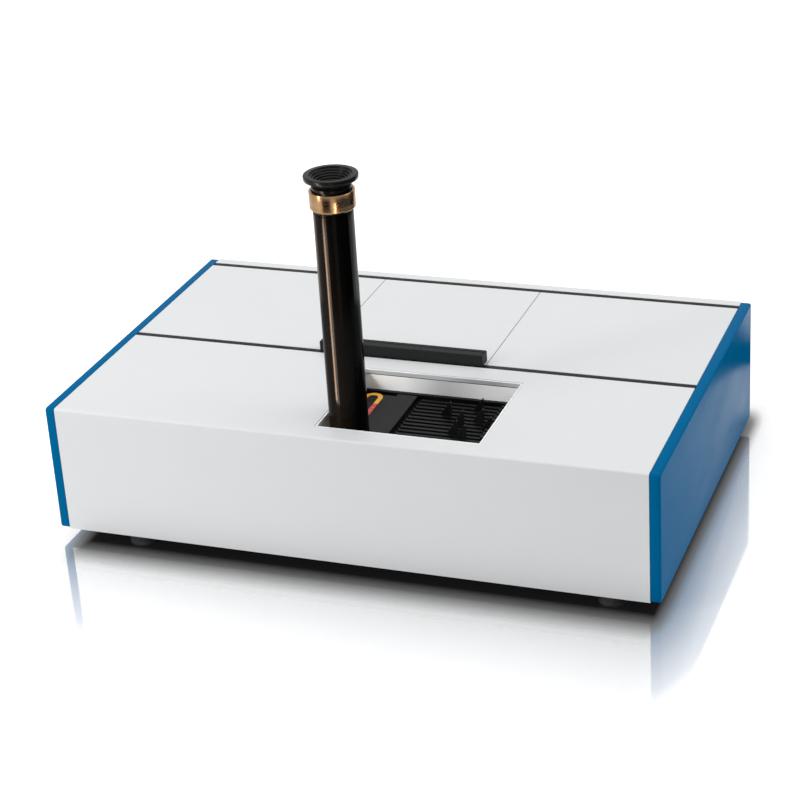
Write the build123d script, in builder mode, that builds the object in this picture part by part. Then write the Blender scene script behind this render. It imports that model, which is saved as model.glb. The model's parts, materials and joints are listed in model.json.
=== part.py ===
from build123d import *
import os

# Benchtop visual colorimeter: a low case with blue side panels, a hinged lid over the
# sample chamber, and a well with a ribbed cassette of sliding filter racks beside an
# upright viewing tube.
# Millimetres. Origin at the centre of the footprint, on the table; +X right, +Y back, +Z up.

# ---------------------------------------------------------------- driving dimensions
# Case
CASE_WIDTH = 520.0
CASE_DEPTH = 337.0
CASE_HEIGHT = 112.0
SIDE_THICKNESS = 8.5
SIDE_EDGE_RADIUS = 2.0
SHEET = 1.5
BEND_RADIUS = 2.0
TRAY_LIP = 18.0
REAR_FACE_INSET = 6.0
VENT_WIDTH = 3.0
VENT_LENGTH = 38.0
VENT_PITCH = 7.0
VENT_COUNT = 9
VENT_SPREAD = 87.3
VENT_RISE = 69.4
BASE_VENT_INSET = 110.0

# Feet
FOOT_HEIGHT = 9.5
FOOT_DIAMETER = 24.6
FOOT_TAPER = 0.8
FOOT_LEFT_INSET = 72.0
FOOT_RIGHT_INSET = 41.0
FOOT_END_INSET = 13.0
FOOT_POCKET_DEPTH = 4.0

# Black strips and the rails they belong to
STRIP_WIDTH = 6.0
STRIP_RECESS = 0.8
FRONT_STRIP_SETBACK = 154.5
REAR_STRIP_SETBACK = 10.0
RAIL_HEIGHT = 14.0
LEDGE_WIDTH = 8.0
LEDGE_THICKNESS = 2.5
REAR_LEDGE_WIDTH = 2.0
HINGE_POCKET_DEPTH = 7.0

# Lid
LID_WIDTH = 148.5
LID_CENTRE_X = -2.25
SHIELD_DEPTH = 10.0
SHIELD_WALL = 1.5
HANDLE_LENGTH = 146.4
HANDLE_SHIFT = 0.75
HANDLE_WIDTH = 12.3
HANDLE_RISE = 9.8
HANDLE_LIP = 0.6
HANDLE_OVERHANG = 4.2
HANDLE_CHAMFER = 1.1
HANDLE_GROOVE_WIDTH = 1.2
HANDLE_GROOVE_DEPTH = 0.6
HANDLE_SCREW_SPREAD = 100.0

# Lid hinges
HINGE_SPREAD = 96.0
HINGE_PIN_DIAMETER = 2.0
HINGE_KNUCKLE_DIAMETER = 4.0
HINGE_KNUCKLE_LENGTH = 8.0
HINGE_ARM_WIDTH = 12.0
HINGE_ARM_THICKNESS = 1.2
HINGE_AXIS_DROP = 2.5
HINGE_BRACKET_BASE = 1.8
HINGE_EAR_WIDTH = 3.0

# Well and liner
WELL_WIDTH = 139.8
WELL_LENGTH = 114.6
WELL_CENTRE_X = 42.9
WELL_SETBACK = 19.0
WELL_CORNER_RADIUS = 0.8
WELL_FLOOR_DROP = 20.0
LINER_THICKNESS = 1.0
LINER_GAP = 0.5

# Filter racks: fin_offset is how far each rack stands left of its zero stop in the photograph
RACK_COUNT = 11
RACK_PITCH = 6.3
FIRST_RACK_SETBACK = 63.5
RACK_THICKNESS = 2.2
RACK_END_MARGIN = 6.0
GLASS_COUNT = 10
GLASS_PITCH = 8.0
WINDOW_WIDTH = 6.0
WINDOW_HEIGHT = 8.0
GLASS_THICKNESS = 1.2
FIN_BASE = 9.5
FIN_RISE = 12.0
FIN_TIP = 0.8
ZERO_STOP_X = 108.5
FIN_OFFSETS = (23.2, 32.2, 0.0, 7.6, 33.2, 18.3, 48.1, 0.0, 24.4, 0.0, 0.0)

# Ribbed slide cover (comb plate) over the racks
COMB_BASE = 2.0
COMB_HEIGHT = 4.0
BAR_WIDTH = 3.2
BAR_LEFT_X = 26.0
BAR_STEP_X = 98.5
BAR_SHOULDER_X = 105.5
BAR_STEP_RISE = 5.0
BAR_SHOULDER_RISE = 11.5
SLOT_LEFT_X = 23.0
SLOT_END_CLEARANCE = 0.5
BORDER_WIDTH = 3.6
BORDER_RISE = 2.0
WALL_WIDTH = 1.7
WALL_RISE = 12.2

# Key plate beside the racks and its coloured ring
KEY_PLATE_THICKNESS = 2.0
KEY_PLATE_RIGHT_X = 22.0
KEY_STEP_X = 4.6
KEY_BACK_SETBACK = 126.0
KEY_STEP_DEPTH = 4.0
KEY_RING_WIDTH = 17.0
KEY_RING_BAND = 4.2
KEY_RING_CENTRE_X = -13.6
KEY_RING_BACK_SETBACK = 123.5
KEY_RING_LENGTH = 57.0
KEY_RING_SINK = 0.4
KEY_RING_PROUD = 0.3
KEY_SPLITS = (19.5, 39.5)

# Cassette frame under the comb plate
CASSETTE_WALL = 2.6
CASSETTE_END = 2.5
CASSETTE_FLOOR = 3.0
GROOVE_DEPTH = 1.5
CASSETTE_FOOT = 12.0

# Light paths, measured up from the table
FILTER_BEAM_Z = 66.0
SAMPLE_BEAM_Z = 52.0
BEAM_WINDOW = 10.0

# Viewing tube and eyepiece
TUBE_X = -7.7
TUBE_SETBACK = 46.0
TUBE_DIAMETER = 31.8
TUBE_BORE = 26.0
SPIGOT_DIAMETER = 24.0
SPIGOT_LENGTH = 10.0
SPIGOT_BORE = 20.0
COLLAR_RISE = 176.8
COLLAR_HEIGHT = 16.0
COLLAR_DIAMETER = 36.2
COLLAR_LIP = 2.0
COLLAR_CHAMFER = 1.8
COLLAR_GRIP = 10.0
TUBE_GROOVE = 0.5
BARREL_GRIP = 18.0
BARREL_WALL = 2.0
LENS_DEPTH = 7.0
LENS_THICKNESS = 4.0
LENS_CROWN_RADIUS = 60.0
FOCUS_TRAVEL = 6.0
EYECUP_RISE = 205.2
EYECUP_DIAMETER = 43.2
EYECUP_RIM_WIDTH = 4.9
EYECUP_RIM_HEIGHT = 4.2
EYECUP_RIDGE_DIAMETER = 31.6
EYECUP_RIDGE_HEIGHT = 2.6
EYECUP_NECK_DIAMETER = 27.5
EYE_HOLE_DIAMETER = 10.0
FUNNEL_STEPS = 7
FUNNEL_DEPTH = 11.4

# Prism housing
HOUSING_WIDTH = 36.0
HOUSING_FRONT_WALL = 3.0
HOUSING_FLANGE_DIAMETER = 35.8
PRISM_LEG = 26.0
PRISM_WIDTH = 22.0

# Sample chamber
CHAMBER_WIDTH = 133.0
CHAMBER_WALL = 1.5
CHAMBER_FLANGE = 16.0
TROUGH_WIDTH = 44.0
TROUGH_WALL = 2.0
TROUGH_CELL_HEIGHT = 36.0
TROUGH_SIDE = 20.0

# Lamp compartment
LAMP_SPREAD = 74.0
LAMP_POST = 14.0
LAMP_DIAMETER = 11.0
LAMP_LENGTH = 26.0
LAMP_BASE = 9.0
REFERENCE_WIDTH = 24.0
REFERENCE_HEIGHT = 12.0
REFERENCE_THICKNESS = 3.0

# Mains side
TRANSFORMER_INSET = 75.0
TRANSFORMER_SETBACK = 73.5
CORE_WIDTH = 66.0
CORE_DEPTH = 30.0
CORE_HEIGHT = 55.0
CORE_LIMB = 11.0
INLET_INSET = 75.0
INLET_RISE = 52.5
MODULE_WIDTH = 60.0
MODULE_HEIGHT = 31.0
MODULE_FLANGE = 2.4
MODULE_DEPTH = 26.0
SOCKET_WIDTH = 24.2
SOCKET_HEIGHT = 16.6
SOCKET_DEPTH = 20.0
PIN_LENGTH = 14.0
ROCKER_WIDTH = 12.0
ROCKER_HEIGHT = 21.0
ROCKER_TILT_DEG = 8.0
ROCKER_PIVOT_DEPTH = 6.0
ROCKER_STUB_RADIUS = 1.5

# Screws
SCREW_DIAMETER = 3.9
SCREW_HEAD_DIAMETER = 7.2
SCREW_HEAD_HEIGHT = 2.2
REAR_SCREW_INSET = 45.0
REAR_SCREW_COUNT = 4

# Clearances
PANEL_GAP = 0.3
REST_GAP = 0.1
RUNNING_GAP = 0.05
SLIDE_GAP = 0.15
SEAT_GAP = 0.02
OPEN_GAP = 0.3

# ---------------------------------------------------------------- worked-out places
BASE = FOOT_HEIGHT
TOP = BASE + CASE_HEIGHT
FRONT = -CASE_DEPTH / 2
BACK = CASE_DEPTH / 2
TRANSFORMER_X = -CASE_WIDTH / 2 + TRANSFORMER_INSET
TRANSFORMER_Y = BACK - TRANSFORMER_SETBACK
INLET_X = -CASE_WIDTH / 2 + INLET_INSET
INLET_Z = BASE + INLET_RISE
INNER = CASE_WIDTH / 2 - SIDE_THICKNESS
FLOOR = BASE + SHEET + REST_GAP
CARRY = TOP - SHEET - REST_GAP
FRONT_STRIP = (FRONT + FRONT_STRIP_SETBACK, FRONT + FRONT_STRIP_SETBACK + STRIP_WIDTH)
REAR_STRIP = (BACK - REAR_STRIP_SETBACK - STRIP_WIDTH, BACK - REAR_STRIP_SETBACK)
REAR_FACE = BACK - REAR_FACE_INSET
LID_X = (LID_CENTRE_X - LID_WIDTH / 2, LID_CENTRE_X + LID_WIDTH / 2)
LID_Y = (FRONT_STRIP[1] + PANEL_GAP, REAR_STRIP[0] - PANEL_GAP)
HINGE_Y = sum(REAR_STRIP) / 2
HINGE_Z = TOP - HINGE_AXIS_DROP
HINGE_CENTRES = (LID_CENTRE_X - HINGE_SPREAD / 2, LID_CENTRE_X + HINGE_SPREAD / 2)
WELL_X = (WELL_CENTRE_X - WELL_WIDTH / 2, WELL_CENTRE_X + WELL_WIDTH / 2)
WELL_Y = (FRONT + WELL_SETBACK, FRONT + WELL_SETBACK + WELL_LENGTH)
COMB_TOP = TOP - WELL_FLOOR_DROP
COMB_BOTTOM = COMB_TOP - COMB_HEIGHT
RACK_TOP = COMB_BOTTOM - OPEN_GAP
RACKS_Y = [FRONT + FIRST_RACK_SETBACK + RACK_PITCH * i for i in range(RACK_COUNT)]
RACK_TRAVEL = GLASS_PITCH * (GLASS_COUNT - 1)
CASSETTE_BOTTOM = FILTER_BEAM_Z - WINDOW_HEIGHT / 2 - 2 * CASSETTE_FLOOR + 1.0
CASSETTE_FLOOR_TOP = CASSETTE_BOTTOM + CASSETTE_FLOOR
RACK_BOTTOM = CASSETTE_FLOOR_TOP - GROOVE_DEPTH + REST_GAP
CASSETTE_X = (TUBE_X - RACK_TRAVEL - RACK_END_MARGIN - 1.0 - CASSETTE_END,
              ZERO_STOP_X + SLOT_END_CLEARANCE + CASSETTE_END)
CASSETTE_Y = (RACKS_Y[0] - RACK_THICKNESS / 2 - 1.3 - CASSETTE_WALL,
              RACKS_Y[-1] + RACK_THICKNESS / 2 + 1.3 + CASSETTE_WALL)
TUBE_Y = FRONT + TUBE_SETBACK
TUBE_AXIS = Axis((TUBE_X, TUBE_Y, 0), (0, 0, 1))
TUBE_PLANE = Plane(origin=(TUBE_X, TUBE_Y, 0), x_dir=(1, 0, 0), z_dir=(0, -1, 0))
COLLAR_Z = (TOP + COLLAR_RISE, TOP + COLLAR_RISE + COLLAR_HEIGHT)
TUBE_TOP = COLLAR_Z[0] + COLLAR_GRIP
TUBE_FOOT = COMB_BOTTOM + REST_GAP + 1.0
EYECUP_TOP = TOP + EYECUP_RISE
CHAMBER_X = (LID_CENTRE_X - CHAMBER_WIDTH / 2, LID_CENTRE_X + CHAMBER_WIDTH / 2)
CHAMBER_Y = (FRONT_STRIP[1] + LEDGE_WIDTH + 0.5, REAR_STRIP[0] - LEDGE_WIDTH - 0.5)
FEET = [(x, y) for x in (-CASE_WIDTH / 2 + FOOT_LEFT_INSET, CASE_WIDTH / 2 - FOOT_RIGHT_INSET)
        for y in (FRONT + FOOT_END_INSET, BACK - FOOT_END_INSET)]
REAR_SCREW_X = [k * (CASE_WIDTH - 2 * REAR_SCREW_INSET) / (REAR_SCREW_COUNT - 1)
                - CASE_WIDTH / 2 + REAR_SCREW_INSET for k in range(REAR_SCREW_COUNT)]
REAR_SCREW_Z = BASE + TRAY_LIP / 2 + SHEET

os.makedirs("parts", exist_ok=True)


# ---------------------------------------------------------------- small helpers
def block(x, y, z, mode=Mode.ADD):
    """Extrude a rectangle between two X, two Y and two Z limits."""
    with BuildSketch(Plane.XY.offset(z[0])) as outline:
        with Locations(((x[0] + x[1]) / 2, (y[0] + y[1]) / 2)):
            Rectangle(x[1] - x[0], y[1] - y[0])
    extrude(outline.sketch, amount=z[1] - z[0], mode=mode)


def section(points, x, mode=Mode.ADD):
    """Extrude a closed (y, z) outline between two X limits."""
    with BuildSketch(Plane.YZ.offset(x[0])) as outline:
        with BuildLine():
            Polyline(*points, close=True)
        make_face()
    extrude(outline.sketch, amount=x[1] - x[0], mode=mode)


def turned(points, mode=Mode.ADD):
    """Revolve a closed (radius, height) outline about the viewing tube's axis."""
    with BuildSketch(TUBE_PLANE) as outline:
        with BuildLine():
            Polyline(*points, close=True)
        make_face()
    revolve(outline.sketch, axis=TUBE_AXIS, mode=mode)


def round_bar(plane, centres, radius, length, mode=Mode.ADD):
    """Extrude a circle at each centre of a plane along the plane's normal."""
    with BuildSketch(plane) as outline:
        with Locations(*centres):
            Circle(radius)
    extrude(outline.sketch, amount=length, mode=mode)


def grown(span, amount):
    """Widen a pair of limits by the same amount at both ends."""
    return (span[0] - amount, span[1] + amount)


# ---------------------------------------------------------------- case
def make_side_panel(name, outer_x, direction):
    """Make one flat blue side panel whose outer edges are softly rounded."""
    with BuildPart() as panel:
        with BuildSketch(Plane.YZ.offset(outer_x)):
            with Locations((0, BASE + CASE_HEIGHT / 2)):
                Rectangle(CASE_DEPTH, CASE_HEIGHT)
        extrude(amount=direction * SIDE_THICKNESS)
        outer_face = panel.faces().sort_by(Axis.X)[0 if direction > 0 else -1]
        fillet(outer_face.edges(), SIDE_EDGE_RADIUS)
    panel.part.label = name
    export_step(panel.part, f"parts/{name}.step")


make_side_panel("side_panel_left", -CASE_WIDTH / 2, 1)
make_side_panel("side_panel_right", CASE_WIDTH / 2, -1)

COVER_X = (-INNER + PANEL_GAP, INNER - PANEL_GAP)

with BuildPart() as front_cover:
    section(((FRONT, BASE), (FRONT, TOP), (FRONT_STRIP[0] - REST_GAP, TOP),
             (FRONT_STRIP[0] - REST_GAP, TOP - SHEET), (FRONT + SHEET, TOP - SHEET),
             (FRONT + SHEET, BASE)), COVER_X)
    front_bend = front_cover.edges().filter_by(Axis.X).sort_by_distance((0, FRONT, TOP))[0]
    fillet(front_bend, BEND_RADIUS)
    with BuildSketch(Plane.XY.offset(TOP - 2 * SHEET)):
        with Locations((WELL_CENTRE_X, sum(WELL_Y) / 2)):
            RectangleRounded(WELL_WIDTH, WELL_LENGTH, WELL_CORNER_RADIUS)
    extrude(amount=3 * SHEET, mode=Mode.SUBTRACT)
front_cover.part.label = "front_cover"
export_step(front_cover.part, "parts/front_cover.step")


def make_deck_panel(name, x):
    """Make one flat deck panel that lies on the rails beside the lid."""
    with BuildPart() as panel:
        block(x, LID_Y, (TOP - SHEET, TOP))
    panel.part.label = name
    export_step(panel.part, f"parts/{name}.step")


make_deck_panel("deck_panel_left", (COVER_X[0], LID_X[0] - PANEL_GAP))
make_deck_panel("deck_panel_right", (LID_X[1] + PANEL_GAP, COVER_X[1]))

MODULE_CUT_X = (INLET_X - MODULE_WIDTH / 2 + 4.0, INLET_X + MODULE_WIDTH / 2 - 4.0)
MODULE_CUT_Z = (INLET_Z - MODULE_HEIGHT / 2 + 3.0, INLET_Z + MODULE_HEIGHT / 2 - 3.0)

with BuildPart() as rear_cover:
    section(((REAR_STRIP[1] + REST_GAP, TOP), (BACK, TOP), (BACK, TOP - SHEET),
             (REAR_FACE, TOP - SHEET), (REAR_FACE, BASE), (REAR_FACE - SHEET, BASE),
             (REAR_FACE - SHEET, TOP - SHEET), (REAR_STRIP[1] + REST_GAP, TOP - SHEET)), COVER_X)
    block(MODULE_CUT_X, grown((REAR_FACE - SHEET, REAR_FACE), 1.0), MODULE_CUT_Z, Mode.SUBTRACT)
    # Cooling slots behind the lamps and beside the transformer
    with BuildSketch(Plane.XZ.offset(-REAR_FACE - 1.0)) as rear_slots:
        with Locations((TUBE_X, BASE + VENT_RISE), (TUBE_X - VENT_SPREAD, BASE + VENT_RISE)):
            with GridLocations(VENT_PITCH, 1.0, VENT_COUNT, 1):
                Rectangle(VENT_WIDTH, VENT_LENGTH)
    extrude(rear_slots.sketch, amount=SHEET + 2.0, mode=Mode.SUBTRACT)
    round_bar(Plane.XZ.offset(-REAR_FACE - 1.0), [(x, REAR_SCREW_Z) for x in REAR_SCREW_X],
              SCREW_DIAMETER / 2 + REST_GAP, SHEET + 2.0, Mode.SUBTRACT)
rear_cover.part.label = "rear_cover"
export_step(rear_cover.part, "parts/rear_cover.step")

TRAY_X = grown((-INNER, INNER), -REST_GAP)
TRAY_Y = (FRONT + SHEET + REST_GAP, REAR_FACE - SHEET - REST_GAP)

with BuildPart() as base_plate:
    block(TRAY_X, TRAY_Y, (BASE, BASE + SHEET))
    # Upturned lips, notched at the corners where the sheet is folded
    lip_z = (BASE + SHEET, BASE + TRAY_LIP)
    for lip_x in ((TRAY_X[0], TRAY_X[0] + SHEET), (TRAY_X[1] - SHEET, TRAY_X[1])):
        block(lip_x, grown(TRAY_Y, -2 * SHEET), lip_z)
    for lip_y in ((TRAY_Y[0], TRAY_Y[0] + SHEET), (TRAY_Y[1] - SHEET, TRAY_Y[1])):
        block(grown(TRAY_X, -2 * SHEET), lip_y, lip_z)
    round_bar(Plane.XY.offset(BASE - 1.0), FEET, SCREW_DIAMETER / 2 + REST_GAP,
              SHEET + 2.0, Mode.SUBTRACT)
    round_bar(Plane.XZ.offset(-TRAY_Y[1] - 1.0), [(x, REAR_SCREW_Z) for x in REAR_SCREW_X],
              SCREW_DIAMETER / 2 + REST_GAP, SHEET + 2.0, Mode.SUBTRACT)
    # Air inlet slots under the transformer and between the chamber and the right side
    with BuildSketch(Plane.XY.offset(BASE - 1.0)) as base_slots:
        with Locations((TRANSFORMER_X + CORE_WIDTH, TRANSFORMER_Y),
                       (CASE_WIDTH / 2 - BASE_VENT_INSET, TRANSFORMER_Y)):
            with GridLocations(VENT_PITCH, 1.0, VENT_COUNT - 2, 1):
                Rectangle(VENT_WIDTH, VENT_LENGTH)
    extrude(base_slots.sketch, amount=SHEET + 2.0, mode=Mode.SUBTRACT)
base_plate.part.label = "base_plate"
export_step(base_plate.part, "parts/base_plate.step")


def rail_outline(strip, front_ledge, rear_ledge):
    """Give the cross-section of a rail: a strip with a ledge on each side of its web."""
    return ((strip[0], TOP - STRIP_RECESS), (strip[1], TOP - STRIP_RECESS), (strip[1], CARRY),
            (strip[1] + rear_ledge, CARRY), (strip[1] + rear_ledge, CARRY - LEDGE_THICKNESS),
            (strip[1], CARRY - LEDGE_THICKNESS), (strip[1], CARRY - RAIL_HEIGHT),
            (strip[0], CARRY - RAIL_HEIGHT), (strip[0], CARRY - LEDGE_THICKNESS),
            (strip[0] - front_ledge, CARRY - LEDGE_THICKNESS), (strip[0] - front_ledge, CARRY),
            (strip[0], CARRY))


with BuildPart() as front_rail:
    section(rail_outline(FRONT_STRIP, LEDGE_WIDTH, LEDGE_WIDTH), TRAY_X)
front_rail.part.label = "front_rail"
export_step(front_rail.part, "parts/front_rail.step")

with BuildPart() as rear_rail:
    section(rail_outline(REAR_STRIP, LEDGE_WIDTH, REAR_LEDGE_WIDTH), TRAY_X)
    # Channel for the hinges along the lid, open to the front where the arms pass
    block(grown(LID_X, 2.0), (REAR_STRIP[0] - LEDGE_WIDTH, REAR_STRIP[1] + REAR_LEDGE_WIDTH),
          (TOP - HINGE_POCKET_DEPTH - 3.0, CARRY))
    block(grown(LID_X, -1.0), REAR_STRIP, (TOP - HINGE_POCKET_DEPTH, TOP), Mode.SUBTRACT)
    for hinge_x in HINGE_CENTRES:
        block((hinge_x - HINGE_ARM_WIDTH / 2 - 1.5, hinge_x + HINGE_ARM_WIDTH / 2 + 1.5),
              (REAR_STRIP[0] - LEDGE_WIDTH - 1.0, REAR_STRIP[0] + 1.0),
              (TOP - HINGE_POCKET_DEPTH, TOP), Mode.SUBTRACT)
rear_rail.part.label = "rear_rail"
export_step(rear_rail.part, "parts/rear_rail.step")

# ---------------------------------------------------------------- feet and screws
FOOT_RADIUS = FOOT_DIAMETER / 2

with BuildPart() as feet:
    for foot_x, foot_y in FEET:
        foot_plane = Plane(origin=(foot_x, foot_y, 0), x_dir=(1, 0, 0), z_dir=(0, -1, 0))
        with BuildSketch(foot_plane):
            with BuildLine():
                Polyline((SCREW_DIAMETER / 2 + REST_GAP, FOOT_POCKET_DEPTH),
                         (SCREW_HEAD_DIAMETER / 2 + 1.0, FOOT_POCKET_DEPTH),
                         (SCREW_HEAD_DIAMETER / 2 + 1.0, 0),
                         (FOOT_RADIUS, 0),
                         (FOOT_RADIUS - FOOT_TAPER, FOOT_HEIGHT),
                         (SCREW_DIAMETER / 2 + REST_GAP, FOOT_HEIGHT), close=True)
            make_face()
        revolve(axis=Axis((foot_x, foot_y, 0), (0, 0, 1)))
feet.part.label = "feet"
export_step(feet.part, "parts/feet.step")

SCREW_REACH = FOOT_HEIGHT - FOOT_POCKET_DEPTH + SHEET + 1.5

with BuildPart() as case_screws:
    # Pan-head screws: one up through each foot, and a row along the foot of the rear cover
    foot_seat = Plane.XY.offset(FOOT_POCKET_DEPTH)
    round_bar(foot_seat, FEET, SCREW_DIAMETER / 2, SCREW_REACH)
    round_bar(Plane.XY.offset(FOOT_POCKET_DEPTH - SCREW_HEAD_HEIGHT), FEET,
              SCREW_HEAD_DIAMETER / 2, SCREW_HEAD_HEIGHT)
    rear_spots = [(x, REAR_SCREW_Z) for x in REAR_SCREW_X]
    round_bar(Plane.XZ.offset(-REAR_FACE), rear_spots, SCREW_DIAMETER / 2, SCREW_REACH)
    round_bar(Plane.XZ.offset(-REAR_FACE - SCREW_HEAD_HEIGHT), rear_spots,
              SCREW_HEAD_DIAMETER / 2, SCREW_HEAD_HEIGHT)
case_screws.part.label = "case_screws"
export_step(case_screws.part, "parts/case_screws.step")

# ---------------------------------------------------------------- lid
LID_EDGES = grown(LID_X, -PANEL_GAP)
HANDLE_CENTRE_X = LID_CENTRE_X - HANDLE_SHIFT
HANDLE_X = (HANDLE_CENTRE_X - HANDLE_LENGTH / 2, HANDLE_CENTRE_X + HANDLE_LENGTH / 2)
HANDLE_Y = (LID_Y[0] - HANDLE_OVERHANG, LID_Y[0] - HANDLE_OVERHANG + HANDLE_WIDTH)
HANDLE_SCREW_Y = (LID_Y[0] + HANDLE_Y[1]) / 2
HANDLE_SCREWS = [(HANDLE_CENTRE_X + k * HANDLE_SCREW_SPREAD / 2, HANDLE_SCREW_Y) for k in (-1, 1)]
SMALL_SCREW_RADIUS = 1.45
SMALL_HEAD_RADIUS = 2.7
SMALL_SCREW_REACH = 5.0

with BuildPart() as lid:
    block(LID_EDGES, LID_Y, (TOP - SHEET, TOP))
    for screw_x, screw_y in HANDLE_SCREWS:
        with Locations(Location((screw_x, screw_y, TOP - SHEET), (180, 0, 0))):
            CounterSinkHole(SMALL_SCREW_RADIUS + REST_GAP, SMALL_HEAD_RADIUS + REST_GAP,
                            depth=SHEET, counter_sink_angle=90)
lid.part.label = "lid"
export_step(lid.part, "parts/lid.step")

with BuildPart() as lid_handle:
    # Bar whose front hangs over the strip with a short lip, with one groove along its top
    section(((HANDLE_Y[0], TOP - HANDLE_LIP), (LID_Y[0] - REST_GAP, TOP - HANDLE_LIP),
             (LID_Y[0] - REST_GAP, TOP), (HANDLE_Y[1], TOP),
             (HANDLE_Y[1], TOP + HANDLE_RISE), (HANDLE_Y[0], TOP + HANDLE_RISE)), HANDLE_X)
    top_edges = lid_handle.faces().sort_by(Axis.Z)[-1].edges()
    chamfer(top_edges, HANDLE_CHAMFER)
    groove_y = HANDLE_Y[0] + HANDLE_WIDTH * 0.58
    block(grown(HANDLE_X, 1.0), (groove_y, groove_y + HANDLE_GROOVE_WIDTH),
          (TOP + HANDLE_RISE - HANDLE_GROOVE_DEPTH, TOP + HANDLE_RISE + 1.0), Mode.SUBTRACT)
    round_bar(Plane.XY.offset(TOP - 1.0), HANDLE_SCREWS, SMALL_SCREW_RADIUS + REST_GAP,
              SMALL_SCREW_REACH + 1.0, Mode.SUBTRACT)
lid_handle.part.label = "lid_handle"
export_step(lid_handle.part, "parts/lid_handle.step")

with BuildPart() as handle_screws:
    for screw_x, screw_y in HANDLE_SCREWS:
        screw_plane = Plane(origin=(screw_x, screw_y, TOP - SHEET), x_dir=(1, 0, 0),
                            z_dir=(0, -1, 0))
        head_height = SMALL_HEAD_RADIUS - SMALL_SCREW_RADIUS
        with BuildSketch(screw_plane):
            with BuildLine():
                Polyline((0, 0), (SMALL_HEAD_RADIUS, 0), (SMALL_SCREW_RADIUS, head_height),
                         (SMALL_SCREW_RADIUS, SHEET + SMALL_SCREW_REACH - REST_GAP),
                         (0, SHEET + SMALL_SCREW_REACH - REST_GAP), close=True)
            make_face()
        revolve(axis=Axis((screw_x, screw_y, 0), (0, 0, 1)))
handle_screws.part.label = "handle_screws"
export_step(handle_screws.part, "parts/handle_screws.step")

# The shield is a shallow black skirt that drops into the chamber and keeps stray light out
SHIELD_X = grown(CHAMBER_X, -CHAMBER_WALL - 1.5)
SHIELD_Y = (CHAMBER_Y[0] + CHAMBER_WALL + 2.0, CHAMBER_Y[1] - CHAMBER_WALL - 1.5)

with BuildPart() as lid_light_shield:
    block(SHIELD_X, SHIELD_Y, (TOP - SHEET - SHIELD_DEPTH, TOP - SHEET))
    block(grown(SHIELD_X, -SHIELD_WALL), grown(SHIELD_Y, -SHIELD_WALL),
          (TOP - SHEET - SHIELD_DEPTH - 1.0, TOP - SHEET - SHIELD_WALL), Mode.SUBTRACT)
lid_light_shield.part.label = "lid_light_shield"
export_step(lid_light_shield.part, "parts/lid_light_shield.step")

# ---------------------------------------------------------------- lid hinges
PIN_RADIUS = HINGE_PIN_DIAMETER / 2
KNUCKLE_RADIUS = HINGE_KNUCKLE_DIAMETER / 2
ARM_KNUCKLE = HINGE_ARM_WIDTH
BRACKET_REACH = ARM_KNUCKLE / 2 + OPEN_GAP + HINGE_KNUCKLE_LENGTH


def knuckle(x, bore):
    """Add a hinge knuckle between two X limits, bored for the pin."""
    with BuildSketch(Plane.YZ.offset(x[0])) as outline:
        with Locations((HINGE_Y, HINGE_Z)):
            Circle(KNUCKLE_RADIUS)
            Circle(bore, mode=Mode.SUBTRACT)
    extrude(outline.sketch, amount=x[1] - x[0])


def pin_bore(x, bore):
    """Clear the pin's bore between two X limits."""
    round_bar(Plane.YZ.offset(x[0]), [(HINGE_Y, HINGE_Z)], bore, x[1] - x[0], Mode.SUBTRACT)


with BuildPart() as lid_hinge_arms:
    for hinge_x in HINGE_CENTRES:
        arm_x = (hinge_x - ARM_KNUCKLE / 2, hinge_x + ARM_KNUCKLE / 2)
        knuckle(arm_x, PIN_RADIUS + RUNNING_GAP)
        block(arm_x, (SHIELD_Y[1] + 1.0, HINGE_Y),
              (TOP - SHEET - HINGE_ARM_THICKNESS, TOP - SHEET))
        pin_bore(arm_x, PIN_RADIUS + RUNNING_GAP)
lid_hinge_arms.part.label = "lid_hinge_arms"
export_step(lid_hinge_arms.part, "parts/lid_hinge_arms.step")

with BuildPart() as lid_hinge_brackets:
    pocket_floor = TOP - HINGE_POCKET_DEPTH
    for hinge_x in HINGE_CENTRES:
        block((hinge_x - BRACKET_REACH, hinge_x + BRACKET_REACH), grown(REAR_STRIP, -0.5),
              (pocket_floor, pocket_floor + HINGE_BRACKET_BASE))
        for side in (-1, 1):
            ends = sorted((hinge_x + side * (ARM_KNUCKLE / 2 + OPEN_GAP),
                           hinge_x + side * BRACKET_REACH))
            block(ends, (HINGE_Y - HINGE_EAR_WIDTH / 2, HINGE_Y + HINGE_EAR_WIDTH / 2),
                  (pocket_floor + HINGE_BRACKET_BASE, HINGE_Z))
            knuckle(ends, PIN_RADIUS + SEAT_GAP)
            pin_bore(ends, PIN_RADIUS + SEAT_GAP)
lid_hinge_brackets.part.label = "lid_hinge_brackets"
export_step(lid_hinge_brackets.part, "parts/lid_hinge_brackets.step")

with BuildPart() as lid_hinge_pins:
    for hinge_x in HINGE_CENTRES:
        round_bar(Plane.YZ.offset(hinge_x - BRACKET_REACH), [(HINGE_Y, HINGE_Z)], PIN_RADIUS,
                  2 * BRACKET_REACH)
lid_hinge_pins.part.label = "lid_hinge_pins"
export_step(lid_hinge_pins.part, "parts/lid_hinge_pins.step")

# ---------------------------------------------------------------- well and cassette
LINER_X = grown(WELL_X, -LINER_GAP)
LINER_Y = grown(WELL_Y, -LINER_GAP)
INSIDE_X = grown(LINER_X, -LINER_THICKNESS)
INSIDE_Y = grown(LINER_Y, -LINER_THICKNESS)
COMB_FLOOR = COMB_BOTTOM + COMB_BASE

with BuildPart() as well_liner:
    block(LINER_X, LINER_Y, (COMB_FLOOR + REST_GAP, TOP - OPEN_GAP))
    block(INSIDE_X, INSIDE_Y, (COMB_FLOOR, TOP), Mode.SUBTRACT)
well_liner.part.label = "well_liner"
export_step(well_liner.part, "parts/well_liner.step")

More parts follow.
